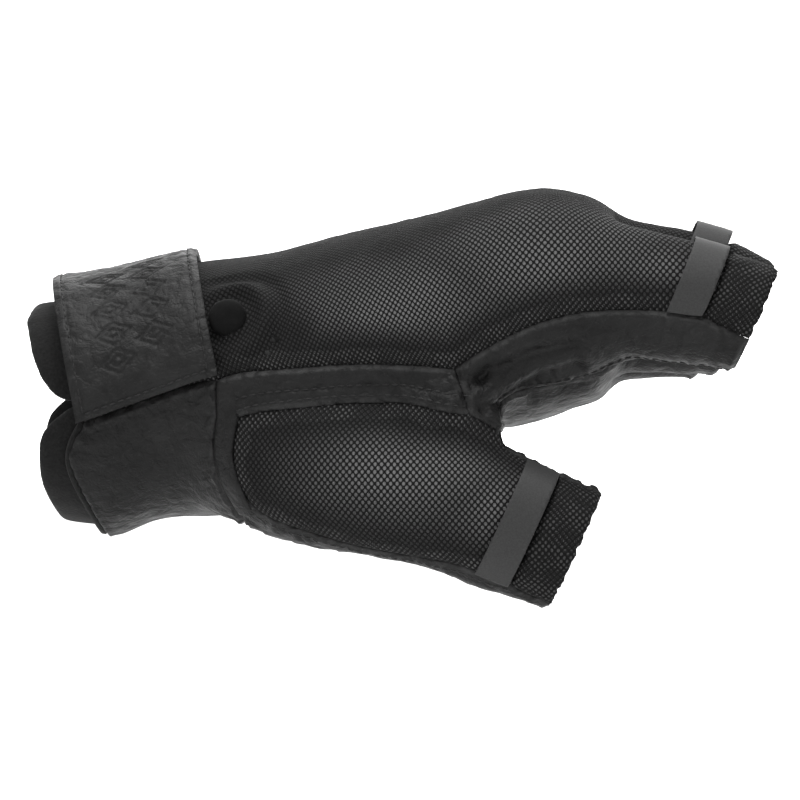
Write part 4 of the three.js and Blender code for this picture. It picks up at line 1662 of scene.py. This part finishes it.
    def build(self, finishes: dict[str, bpy.types.Material]) -> None:
        """Makes the strap's leather, its backing and its hook tape.

        Args:
            finishes: The materials by name.
        """
        size = (self.width, self.reach)
        leather = grid(self.across, self.along, self.face, "wrist_strap", size)
        turn_out(leather, self.core)
        self.press(leather)
        thicken(leather, self.leather)
        backing = grid(self.across // 2, self.along // 2, lambda u, v: self.face(
            self.inset(u, self.width), self.inset(v, self.reach)), "strap_backing", size)
        turn_out(backing, self.core)
        sink(backing, self.leather + 0.05 * MM)
        thicken(backing, self.backing)
        fit(leather, finishes["strap_leather"], Bend.STRAP, "strap_leather", "strap_leather")
        fit(backing, finishes["foam_rubber"], Bend.STRAP, "neoprene", "strap_lining")
        self.hook_tape(finishes["hook_tape"])

    def hook_tape(self, material: bpy.types.Material) -> None:
        """Lays the hook tape under the strap's free end."""
        places = KDTree(self.table.shape[0] * self.table.shape[1])
        for index, place in enumerate(self.table.reshape(-1, 3)):
            places.insert(Vector(place), index)
        places.balance()
        spots = [divmod(places.find(vertex.co)[1], self.across + 1)
                 for vertex in frame["nodes"]["strap_hook_tape"].data.vertices]
        (first_v, first_u), (last_v, last_u) = np.min(spots, axis=0), np.max(spots, axis=0)
        tall, wide = last_v - first_v, last_u - first_u

        def place(u: float, v: float) -> Vector:
            """Finds a place on the part of the surface that the tape lies under."""
            return Vector(self.table[round(first_v + v * tall), round(first_u + u * wide)])

        tape = grid(wide // 3, tall // 3, place, "hook_tape",
                    (wide * self.fineness, tall * self.fineness))
        turn_out(tape, self.core)
        sink(tape, self.leather + self.backing + 0.1 * MM)
        thicken(tape, self.tape)
        fit(tape, material, Bend.STRAP, "hook_and_loop", "strap_hook_tape")

    def inset(self, share: float, length: float) -> float:
        """Draws a share in from both ends."""
        margin = self.backing_inset / length
        return margin + share * (1 - 2 * margin)

    def press(self, leather: bpy.types.Object) -> None:
        """Gives the strap's face its relief."""
        bm = bmesh.new()
        bm.from_mesh(leather.data)
        bm.normal_update()
        layer = bm.loops.layers.uv.active
        raise_points(bm, lambda vertex: self.relief(*vertex.link_loops[0][layer].uv))
        self.tree_outside = BVHTree.FromBMesh(bm)
        bm.to_mesh(leather.data)
        bm.free()

    def rows(self) -> list[Line]:
        """Gives the strap's rows of stitches: along both sides and across both ends."""
        table = self.table
        near = round(self.stitch_inset / self.fineness)
        lines = [table[near:-near, near], table[near:-near, -near - 1],
                 table[near, near:-near], table[-near - 1, near:-near]]
        return [Line(line, np.tile((0.0, 0.0, 1.0), (len(line), 1))) for line in lines]


def sink(piece: bpy.types.Object, depth: float) -> None:
    """Moves a sheet towards its inside."""
    bm = bmesh.new()
    bm.from_mesh(piece.data)
    bm.normal_update()
    raise_points(bm, lambda _: -depth)
    bm.to_mesh(piece.data)
    bm.free()


# ---------------------------------------------------------------- ribbons, cuff and knob
@dataclass
class PullTab:
    """A ribbon sewn across the back of one stall, to pull the glove off by."""

    digit: str
    bend: Bend
    cloth: str
    bow: float
    lift: float = 0.55 * MM
    thickness: float = 0.6 * MM
    spare: float = 2 * MM
    search: float = 3 * MM
    rise: tuple[float, float] = (1 * MM, 8 * MM)

    def build(self, skin: Skin, material: bpy.types.Material) -> None:
        """Lays the ribbon over the stall.

        Args:
            skin: The glove's skin.
            material: The ribbon's finish.
        """
        node = f"{self.digit}_tab"
        way, low, high = lengthways(node)
        tree, _ = cad_tree({node: 0})

        def covered(centre: Vector) -> bool:
            """Tells whether a face lies under the ribbon, or just beside it."""
            near = low - self.spare < centre.dot(way) < high + self.spare
            return near and tree.find_nearest(centre)[3] < self.search

        sheet = skin.piece(self.cloth, covered)
        for place, outer, inner in ((low, False, True), (high, True, False)):
            geometry = sheet.verts[:] + sheet.edges[:] + sheet.faces[:]
            bmesh.ops.bisect_plane(sheet, geom=geometry, dist=CUT_WELD, plane_co=way * place,
                                   plane_no=way, clear_outer=outer, clear_inner=inner)
        keep_largest(sheet)
        sheet.normal_update()
        cut = [edge for edge in free_edges(sheet)
               if abs((edge.verts[0].co - edge.verts[1].co).normalized().dot(way)) > 0.7]
        ends, _ = border_tree(cut)
        raise_points(sheet, lambda vertex: self.lift + self.bow * smoothstep(
            ends.find(vertex.co)[2], *self.rise))
        piece = object_from(sheet, f"{self.digit}_pull_tab")
        thicken(piece, self.thickness)
        fit(piece, material, self.bend, "pull_tab_ribbon", node)


@dataclass
class Overlay:
    """A flat piece sewn onto the outside of a panel, in the shape that the frame gives it."""

    name: str
    node: str
    cloth: str
    finish: str
    slot: str
    lift: float
    thickness: float
    search: float = 1.5 * MM
    rounds: int = 14
    edge_drop: float = 0.4 * MM
    edge_width: float = 0.8 * MM
    stitch_inset: float = 1.6 * MM
    stitch_rounds: int = 8

    def build(self, skin: Skin, finishes: dict[str, bpy.types.Material]) -> Line:
        """Cuts the piece from the skin and lays it on.

        Args:
            skin: The glove's skin.
            finishes: The materials by name.

        Returns:
            The row of stitches along its edge.
        """
        tree, _ = cad_tree({self.node: 0})
        sheet = skin.piece(self.cloth, lambda centre: tree.find_nearest(centre)[3] < self.search)
        rim = free_edges(sheet)
        border = {vertex for edge in rim for vertex in edge.verts}
        for _ in range(self.rounds):
            moves = {}
            for vertex in border:
                near = [edge.other_vert(vertex).co for edge in vertex.link_edges
                        if len(edge.link_faces) == 1]
                moves[vertex] = (sum(near, Vector()) / len(near) - vertex.co) * EASE
            for vertex, move in moves.items():
                vertex.co += move
            smooth_points(sheet, [vertex for vertex in sheet.verts if vertex not in border])
        sheet.normal_update()
        tree, _ = border_tree(rim)
        raise_points(sheet, lambda vertex: self.lift - self.edge_drop * bell(
            tree.find(vertex.co)[2], self.edge_width))
        sheet.normal_update()
        chain = longest_chain(rim)
        middle = sum((vertex.co for vertex in chain), Vector()) / len(chain)
        edge = np.array([vertex.co + (middle - vertex.co).normalized() * self.stitch_inset
                         for vertex in chain])
        normals = np.array([vertex.normal for vertex in chain])
        piece = object_from(sheet, self.name)
        unwrap(piece)
        thicken(piece, self.thickness)
        fit(piece, finishes[self.finish], Bend.HAND, self.slot, self.node)
        self.surface = surface_of(piece)
        return Line(edge, normals).resampled(SEAM_PITCH).smoothed(self.stitch_rounds)


@dataclass
class Cuff:
    """What finishes the cuff: the two lobes of its lining, the piping and the seam strip."""

    voxel: float = 0.7 * MM
    piping: float = 0.95 * MM
    strip_lift: float = 0.6 * MM
    strip_wall: float = 0.9 * MM
    strip_width: float = 5.4 * MM
    strip_lines: int = 10
    strip_rows: tuple[int, int] = (2, 7)
    lining_rounds: int = 45

    def linings(self, material: bpy.types.Material) -> None:
        """Makes the two lobes of soft rubber."""
        for node in ("cuff_lining_back", "cuff_lining_palm"):
            piece = remeshed(cad_solid([node], 0.0), self.voxel, f"{node}_lobe")
            relax = piece.modifiers.new("relax", "SMOOTH")
            relax.factor = EASE
            relax.iterations = self.lining_rounds
            finished_copy(piece)
            fit(piece, material, Bend.HAND, "neoprene", node)

    def binding(self, skin: Skin, material: bpy.types.Material) -> None:
        """Makes the piping along the cuff leather's free edge."""
        edge = skin.seam("cuff_palm_leather", rim=True).resampled(1 * MM).smoothed(20)
        points = [Vector(p) - Vector(n) * 0.35 * MM for p, n in zip(edge.points, edge.normals)]
        piece = cord(points, self.piping, "cuff_piping")
        fit(piece, material, Bend.HAND, "binding_tape", "cuff_binding")

    def seam_strip(self, skin: Skin, material: bpy.types.Material) -> list[Line]:
        """Makes the overlapped strip between the cuff and the thumb.

        Args:
            skin: The glove's skin.
            material: Its leather.

        Returns:
            Its two rows of stitches.
        """
        low, high = corners("cuff_seam_tape")
        seam = skin.seam("cuff_palm_leather", "thumb_mesh", "bridge_leather", "palm_leather",
                         "thumb_leather")
        seam = seam.cut(lambda p: p[1] < high.y + 1 * MM and low.z - 1 * MM < p[2] < high.z + 1 * MM)
        seam = seam.resampled(0.6 * MM).smoothed(10)
        lines = [skin.shifted(seam, -share * self.strip_width, "cuff_palm_leather")
                 for share in np.linspace(0, 1, self.strip_lines)]

        def place(u: float, v: float) -> Vector:
            """Finds a place on the strip."""
            line = lines[round(u * (len(lines) - 1))]
            index = round(v * (len(line.points) - 1))
            crown = self.strip_lift * (1 - (2 * u - 1) ** 4)
            return Vector(line.points[index]) + Vector(line.normals[index]) * (crown + 0.1 * MM)

        piece = grid(len(lines) - 1, len(seam.points) - 1, place, "cuff_seam_strip",
                     (self.strip_width, seam.lengths()[-1]))
        turn_out(piece, Vector((60 * MM, 0, 0)))
        thicken(piece, self.strip_wall)
        fit(piece, material, Bend.HAND, "palm_leather", "cuff_seam_tape")
        self.strip_surface = surface_of(piece)
        return [lines[row] for row in self.strip_rows]


def surface_of(piece: bpy.types.Object) -> BVHTree:
    """Makes a search tree of a finished piece."""
    bm = bmesh.new()
    bm.from_mesh(piece.data)
    tree = BVHTree.FromBMesh(bm)
    bm.free()
    return tree


def knob_seat() -> Vector:
    """Gives the middle of the knob's foot, on the cloth."""
    low, high = corners("wrist_button")
    return Vector(((low.x + high.x) / 2, high.y, (low.z + high.z) / 2))


@dataclass
class Knob:
    """The cloth-covered knob beside the strap: the half profile of its dome, and its lumps."""

    profile: tuple[tuple[float, float], ...] = (
        (1.0, 0.0), (1.03, 0.3), (0.93, 0.66), (0.62, 0.92), (0.25, 1.0), (0.0, 1.0))
    steps: int = 28
    lump: float = 2.2 * MM

    def build(self, material: bpy.types.Material) -> None:
        """Turns the knob's dome and sets it on the cloth.

        Args:
            material: Its cloth.
        """
        low, high = corners("wrist_button")
        radius = (high.x - low.x) / 2
        deep = high.y - low.y
        bm = bmesh.new()
        rim = [bm.verts.new((share * radius, -height * deep, 0)) for share, height in self.profile]
        edges = [bm.edges.new(pair) for pair in zip(rim, rim[1:])]
        bmesh.ops.spin(bm, geom=rim + edges, cent=(0, 0, 0), axis=(0, 1, 0), angle=2 * math.pi,
                       steps=self.steps, use_merge=True)
        bmesh.ops.remove_doubles(bm, verts=bm.verts, dist=WELD)
        bmesh.ops.holes_fill(bm, edges=bm.edges, sides=self.steps)
        bmesh.ops.recalc_face_normals(bm, faces=bm.faces)
        bmesh.ops.subdivide_edges(bm, edges=bm.edges, cuts=1, use_grid_fill=True, smooth=0.6)
        bmesh.ops.translate(bm, verts=bm.verts, vec=knob_seat())
        bm.normal_update()
        for vertex in bm.verts:
            vertex.co += vertex.normal * 0.3 * MM * noise.noise(vertex.co / self.lump)
        piece = object_from(bm, "wrist_knob")
        fit(piece, material, Bend.HAND, "mesh_cloth", "wrist_button")


# ---------------------------------------------------------------- the studio
@dataclass
class Studio:
    """A plain pale floor, soft light from above and the camera."""

    aim: Vector = field(default_factory=lambda: Vector((81.6, -40, 5.75)) * MM)
    distance: float = 2.4
    picture: float = 184 * MM
    elevation: float = math.radians(4.5)
    drop: float = 60 * MM
    half_width: float = 4.0
    front: float = -3.0
    bend_start: float = 2.2
    bend_radius: float = 0.8
    height: float = 4.0
    paper: float = 0.93
    air: float = 0.85

    def build(self) -> None:
        """Makes the floor, the lights and the camera."""
        self.floor()
        self.lights()
        self.camera()

    def floor(self) -> None:
        """Makes a floor that sweeps up into a backdrop."""
        bm = bmesh.new()
        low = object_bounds()[0][2] - self.drop
        start, radius = self.bend_start, self.bend_radius
        rise = [(self.front, low), (start, low)]
        rise += [(start + radius * math.sin(turn), low + radius * (1 - math.cos(turn)))
                 for turn in np.linspace(0.1, math.pi / 2, 12)]
        rise.append((start + radius, self.height))
        points = [bm.verts.new((-self.half_width, y, z)) for y, z in rise]
        edges = [bm.edges.new(pair) for pair in zip(points, points[1:])]
        wide = bmesh.ops.extrude_edge_only(bm, edges=edges)["geom"]
        moved = [item for item in wide if isinstance(item, bmesh.types.BMVert)]
        bmesh.ops.translate(bm, verts=moved, vec=(2 * self.half_width, 0, 0))
        bmesh.ops.recalc_face_normals(bm, faces=bm.faces)
        floor = object_from(bm, "studio_floor")
        floor.data.shade_smooth()
        n = Nodes("studio_paper")
        n.feed(Base_Color=(self.paper, self.paper, self.paper, 1), Roughness=0.9,
               Specular_IOR_Level=0.1)
        dress(floor, n.material)
        floor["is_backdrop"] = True

    def lights(self) -> None:
        """Hangs the soft lights."""
        world = bpy.data.worlds.new("studio_air")
        world.use_nodes = True
        background = world.node_tree.nodes["Background"]
        background.inputs["Color"].default_value = (1, 1, 1, 1)
        background.inputs["Strength"].default_value = self.air
        bpy.context.scene.world = world
        for name, place, aim, size, power in (
                ("softbox_above", (0.06, -0.15, 0.95), self.aim, 0.7, 11.0),
                ("softbox_back", (0.25, 0.8, 0.9), self.aim, 0.9, 5.0),
                ("backdrop_light", (0.1, 1.1, 0.9), Vector((0.1, 3, 0.5)), 1.6, 70.0)):
            light = bpy.data.lights.new(name, "AREA")
            light.size = size
            light.energy = power
            lamp = bpy.data.objects.new(name, light)
            lamp.location = place
            lamp.rotation_euler = (aim - lamp.location).to_track_quat("-Z", "Y").to_euler()
            bpy.context.scene.collection.objects.link(lamp)
        bpy.context.scene.view_settings.view_transform = "Standard"

    def camera(self) -> None:
        """Places the camera on the thumb's side, a little above the glove."""
        lens = bpy.data.cameras.new("camera")
        lens.sensor_width = 36
        lens.lens = lens.sensor_width * self.distance / self.picture
        lens.clip_start = 0.01
        camera = bpy.data.objects.new("camera", lens)
        way = Vector((0, -math.cos(self.elevation), math.sin(self.elevation)))
        camera.location = self.aim + way * self.distance
        camera.rotation_euler = (-way).to_track_quat("-Z", "Y").to_euler()
        bpy.context.scene.collection.objects.link(camera)
        bpy.context.scene.camera = camera


# ---------------------------------------------------------------- the glove
INDEX_FOLDS = (
    Fold(((0.0955, 0.0085), (0.103, 0.0125), (0.112, 0.0165), (0.121, 0.0185)), 0.9 * MM, 1.5 * MM),
    Fold(((0.0985, 0.003), (0.106, 0.0055), (0.114, 0.0115), (0.122, 0.014)), 1.0 * MM, 1.6 * MM),
    Fold(((0.1005, 0.011), (0.1035, 0.018)), 0.6 * MM, 1.2 * MM),
)
PALM_FOLDS = (
    Fold(((0.107, 0.0), (0.117, 0.0025), (0.126, 0.007)), -1.3 * MM, 2.6 * MM),
    Fold(((0.112, 0.0065), (0.121, 0.009), (0.128, 0.0125)), 0.8 * MM, 1.2 * MM),
)
# Where the knit is pulled open over the hand, which is also where its cells are painted lighter on the
# bulges that face the camera: the middle of each place, and its reach.
BACK_PULLS_AND_LIGHT = (
    (Vector((116, -40, 37)) * MM, Vector((27, 24, 14)) * MM),
    (Vector((84, -42, 27)) * MM, Vector((27, 18, 12)) * MM),
    (Vector((142, -44, 33)) * MM, Vector((16, 18, 9)) * MM),
)
THUMB_PULLS_AND_LIGHT = (
    (Vector((84, -52, -10)) * MM, Vector((26, 18, 11)) * MM),
    (Vector((108, -56, -18)) * MM, Vector((16, 18, 10)) * MM),
)
# Rows of stitches: what they follow, the panel they lie on, its neighbours, and how far in, in mm.
SEAM_ROWS = (
    (Bend.HAND, "bridge_leather", ("thumb_mesh",), (1.7, 4.3)),
    (Bend.HAND, "cuff_palm_leather", ("palm_leather",), (1.8,)),
    (Bend.KNUCKLES, "index_leather", ("palm_leather",), (1.7,)),
    (Bend.THUMB_KNUCKLE, "thumb_leather", ("thumb_mesh",), (1.7,)),
    (Bend.THUMB_KNUCKLE, "thumb_leather", ("palm_leather",), (1.7,)),
)


def glove_panels() -> list[Panel]:
    """Lists the glove's panels.

    Returns:
        The panels, in the order of their labels.
    """
    leather = dict(finish="leather", slot="palm_leather", thickness=1.2 * MM, lift=0.35 * MM,
                   gather=0.32 * MM, swell=0.36 * MM, turned=0.3 * MM)
    fine_leather = dict(leather, finer=True)
    mesh = dict(slot="mesh_cloth", thickness=0.9 * MM, gather=0.1 * MM, swell=0.22 * MM,
                swell_size=18 * MM, doubled=3.8 * MM)
    hem = dict(finish="hem", slot="hem_cloth", thickness=1.4 * MM, lift=0.3 * MM, gather=0.2 * MM,
               swell=0.2 * MM, swell_size=4 * MM, ragged=0.5 * MM)
    panels = [
        Panel("back_mesh", ("back_panel", "knuckle_fold_back", "finger_back_panel"),
              Bend.KNUCKLES, "mesh", crease_round=knob_seat(), pulls_and_light=BACK_PULLS_AND_LIGHT, **mesh),
        Panel("palm_leather", ("palm_panel", "knuckle_fold_front", "finger_front_panel"),
              Bend.KNUCKLES, folds=PALM_FOLDS, **leather),
        Panel("index_leather", ("index_side_base", "index_side_fold", "index_side_panel"),
              Bend.KNUCKLES, folds=INDEX_FOLDS, **fine_leather),
        Panel("bridge_leather", ("thumb_bridge_strip",), Bend.HAND, **fine_leather),
        Panel("cuff_palm_leather", ("cuff_leather",), Bend.HAND, **fine_leather),
        Panel("thumb_mesh", ("thumb_back_panel", "thumb_fold_back", "thumb_end_back"),
              Bend.THUMB_KNUCKLE, "mesh", pulls_and_light=THUMB_PULLS_AND_LIGHT, **mesh),
        Panel("thumb_leather", ("thumb_front_panel", "thumb_fold_front", "thumb_end_front"),
              Bend.THUMB_KNUCKLE, **leather),
        Panel("thumb_hem_mesh", ("thumb_hem",), Bend.THUMB, **hem),
    ]
    for name in ("index", "middle", "ring", "little"):
        panels.append(Panel(f"{name}_hem_mesh", (f"{name}_hem",), Bend.FINGERS, **hem))
    for name in ("index_middle", "middle_ring", "ring_little"):
        panels.append(Panel(f"gusset_{name}", (f"fourchette_{name}",), Bend.KNUCKLES, **leather))
    return panels


def glove_rows(skin: Skin) -> dict[Bend, list[Line]]:
    """Places the rows of stitches beside the seams.

    Args:
        skin: The glove's skin.

    Returns:
        The rows, by what they follow.
    """
    rows: dict[Bend, list[Line]] = {}
    for bend, panel, other, distances in SEAM_ROWS:
        seam = skin.seam(panel, *other)
        log.info("seam of %s: %.0f mm", panel, seam.lengths()[-1] / MM)
        rows.setdefault(bend, []).extend(
            skin.shifted(seam, distance * MM, panel) for distance in distances)
    return rows


def main() -> None:
    """Builds the glove piece by piece."""
    logging.basicConfig(level=logging.INFO, format="%(name)s: %(message)s")
    Studio().build()
    finishes = {
        "mesh": MeshCloth().material(),
        "hem": MeshCloth("doubled_mesh", pitch=1.5 * MM, rise=1.6 * MM, light=0.06, slack=0.7,
                         waver=0.9 * MM, double=1.0).material(),
        "leather": GrainLeather().material(),
        "strap_leather": GrainLeather("strap_leather", colour=0.0075).material(),
        "hook_tape": Fastening("hook_tape", 0.02, 0.8 * MM, 0.5 * MM).material(),
        "loop_pile": Fastening("loop_pile", 0.012, 1.3 * MM, 0.4 * MM).material(),
        "foam_rubber": FOAM_RUBBER.material(),
        "ribbon": RIBBON.material(),
        "thread": THREAD.material(),
    }
    panels = glove_panels()
    skin = Skin(panels)
    skin.mark_leather(("back_mesh", "thumb_mesh"))
    rows = glove_rows(skin)
    channels = points_tree([line for lines in rows.values() for line in lines])
    for panel in panels:
        panel.build(skin, channels, finishes)
    surfaces = [panel.surface for panel in panels]
    cuff = Cuff()
    cuff.linings(finishes["foam_rubber"])
    cuff.binding(skin, finishes["foam_rubber"])
    strip_rows = cuff.seam_strip(skin, finishes["leather"])
    Stitching("strip_stitches", Bend.HAND, "palm_leather", strip_rows).build(
        [cuff.strip_surface], finishes["thread"])
    for bend, lines in rows.items():
        Stitching(f"{bend.value.replace(' ', '_')}_stitches", bend, "palm_leather", lines).build(
            surfaces, finishes["thread"])
    patch = Overlay("palm_patch", "palm_reinforcement", "palm_leather", "leather", "palm_leather",
                    1.3 * MM, 1.0 * MM)
    patch_row = patch.build(skin, finishes)
    Stitching("palm_patch_stitches", Bend.HAND, "palm_leather", [patch_row]).build(
        [patch.surface], finishes["thread"])
    Overlay("loop_patch", "closure_loop_patch", "back_mesh", "loop_pile", "hook_and_loop",
            1.0 * MM, 0.9 * MM).build(skin, finishes)
    Knob().build(finishes["hem"])
    for digit, bend, cloth, bow in (
            ("index", Bend.FINGERS, "back_mesh", 0.9), ("middle", Bend.FINGERS, "back_mesh", 2.2),
            ("ring", Bend.FINGERS, "back_mesh", 1.3), ("little", Bend.FINGERS, "back_mesh", 1.0),
            ("thumb", Bend.THUMB, "thumb_mesh", 0.7)):
        PullTab(digit, bend, cloth, bow * MM).build(skin, finishes["ribbon"])
    strap = Strap()
    strap.build(finishes)
    Stitching("strap_stitches", Bend.STRAP, "strap_leather", strap.rows()).build(
        [strap.tree_outside], finishes["thread"])


if __name__ == "__main__":
    main()
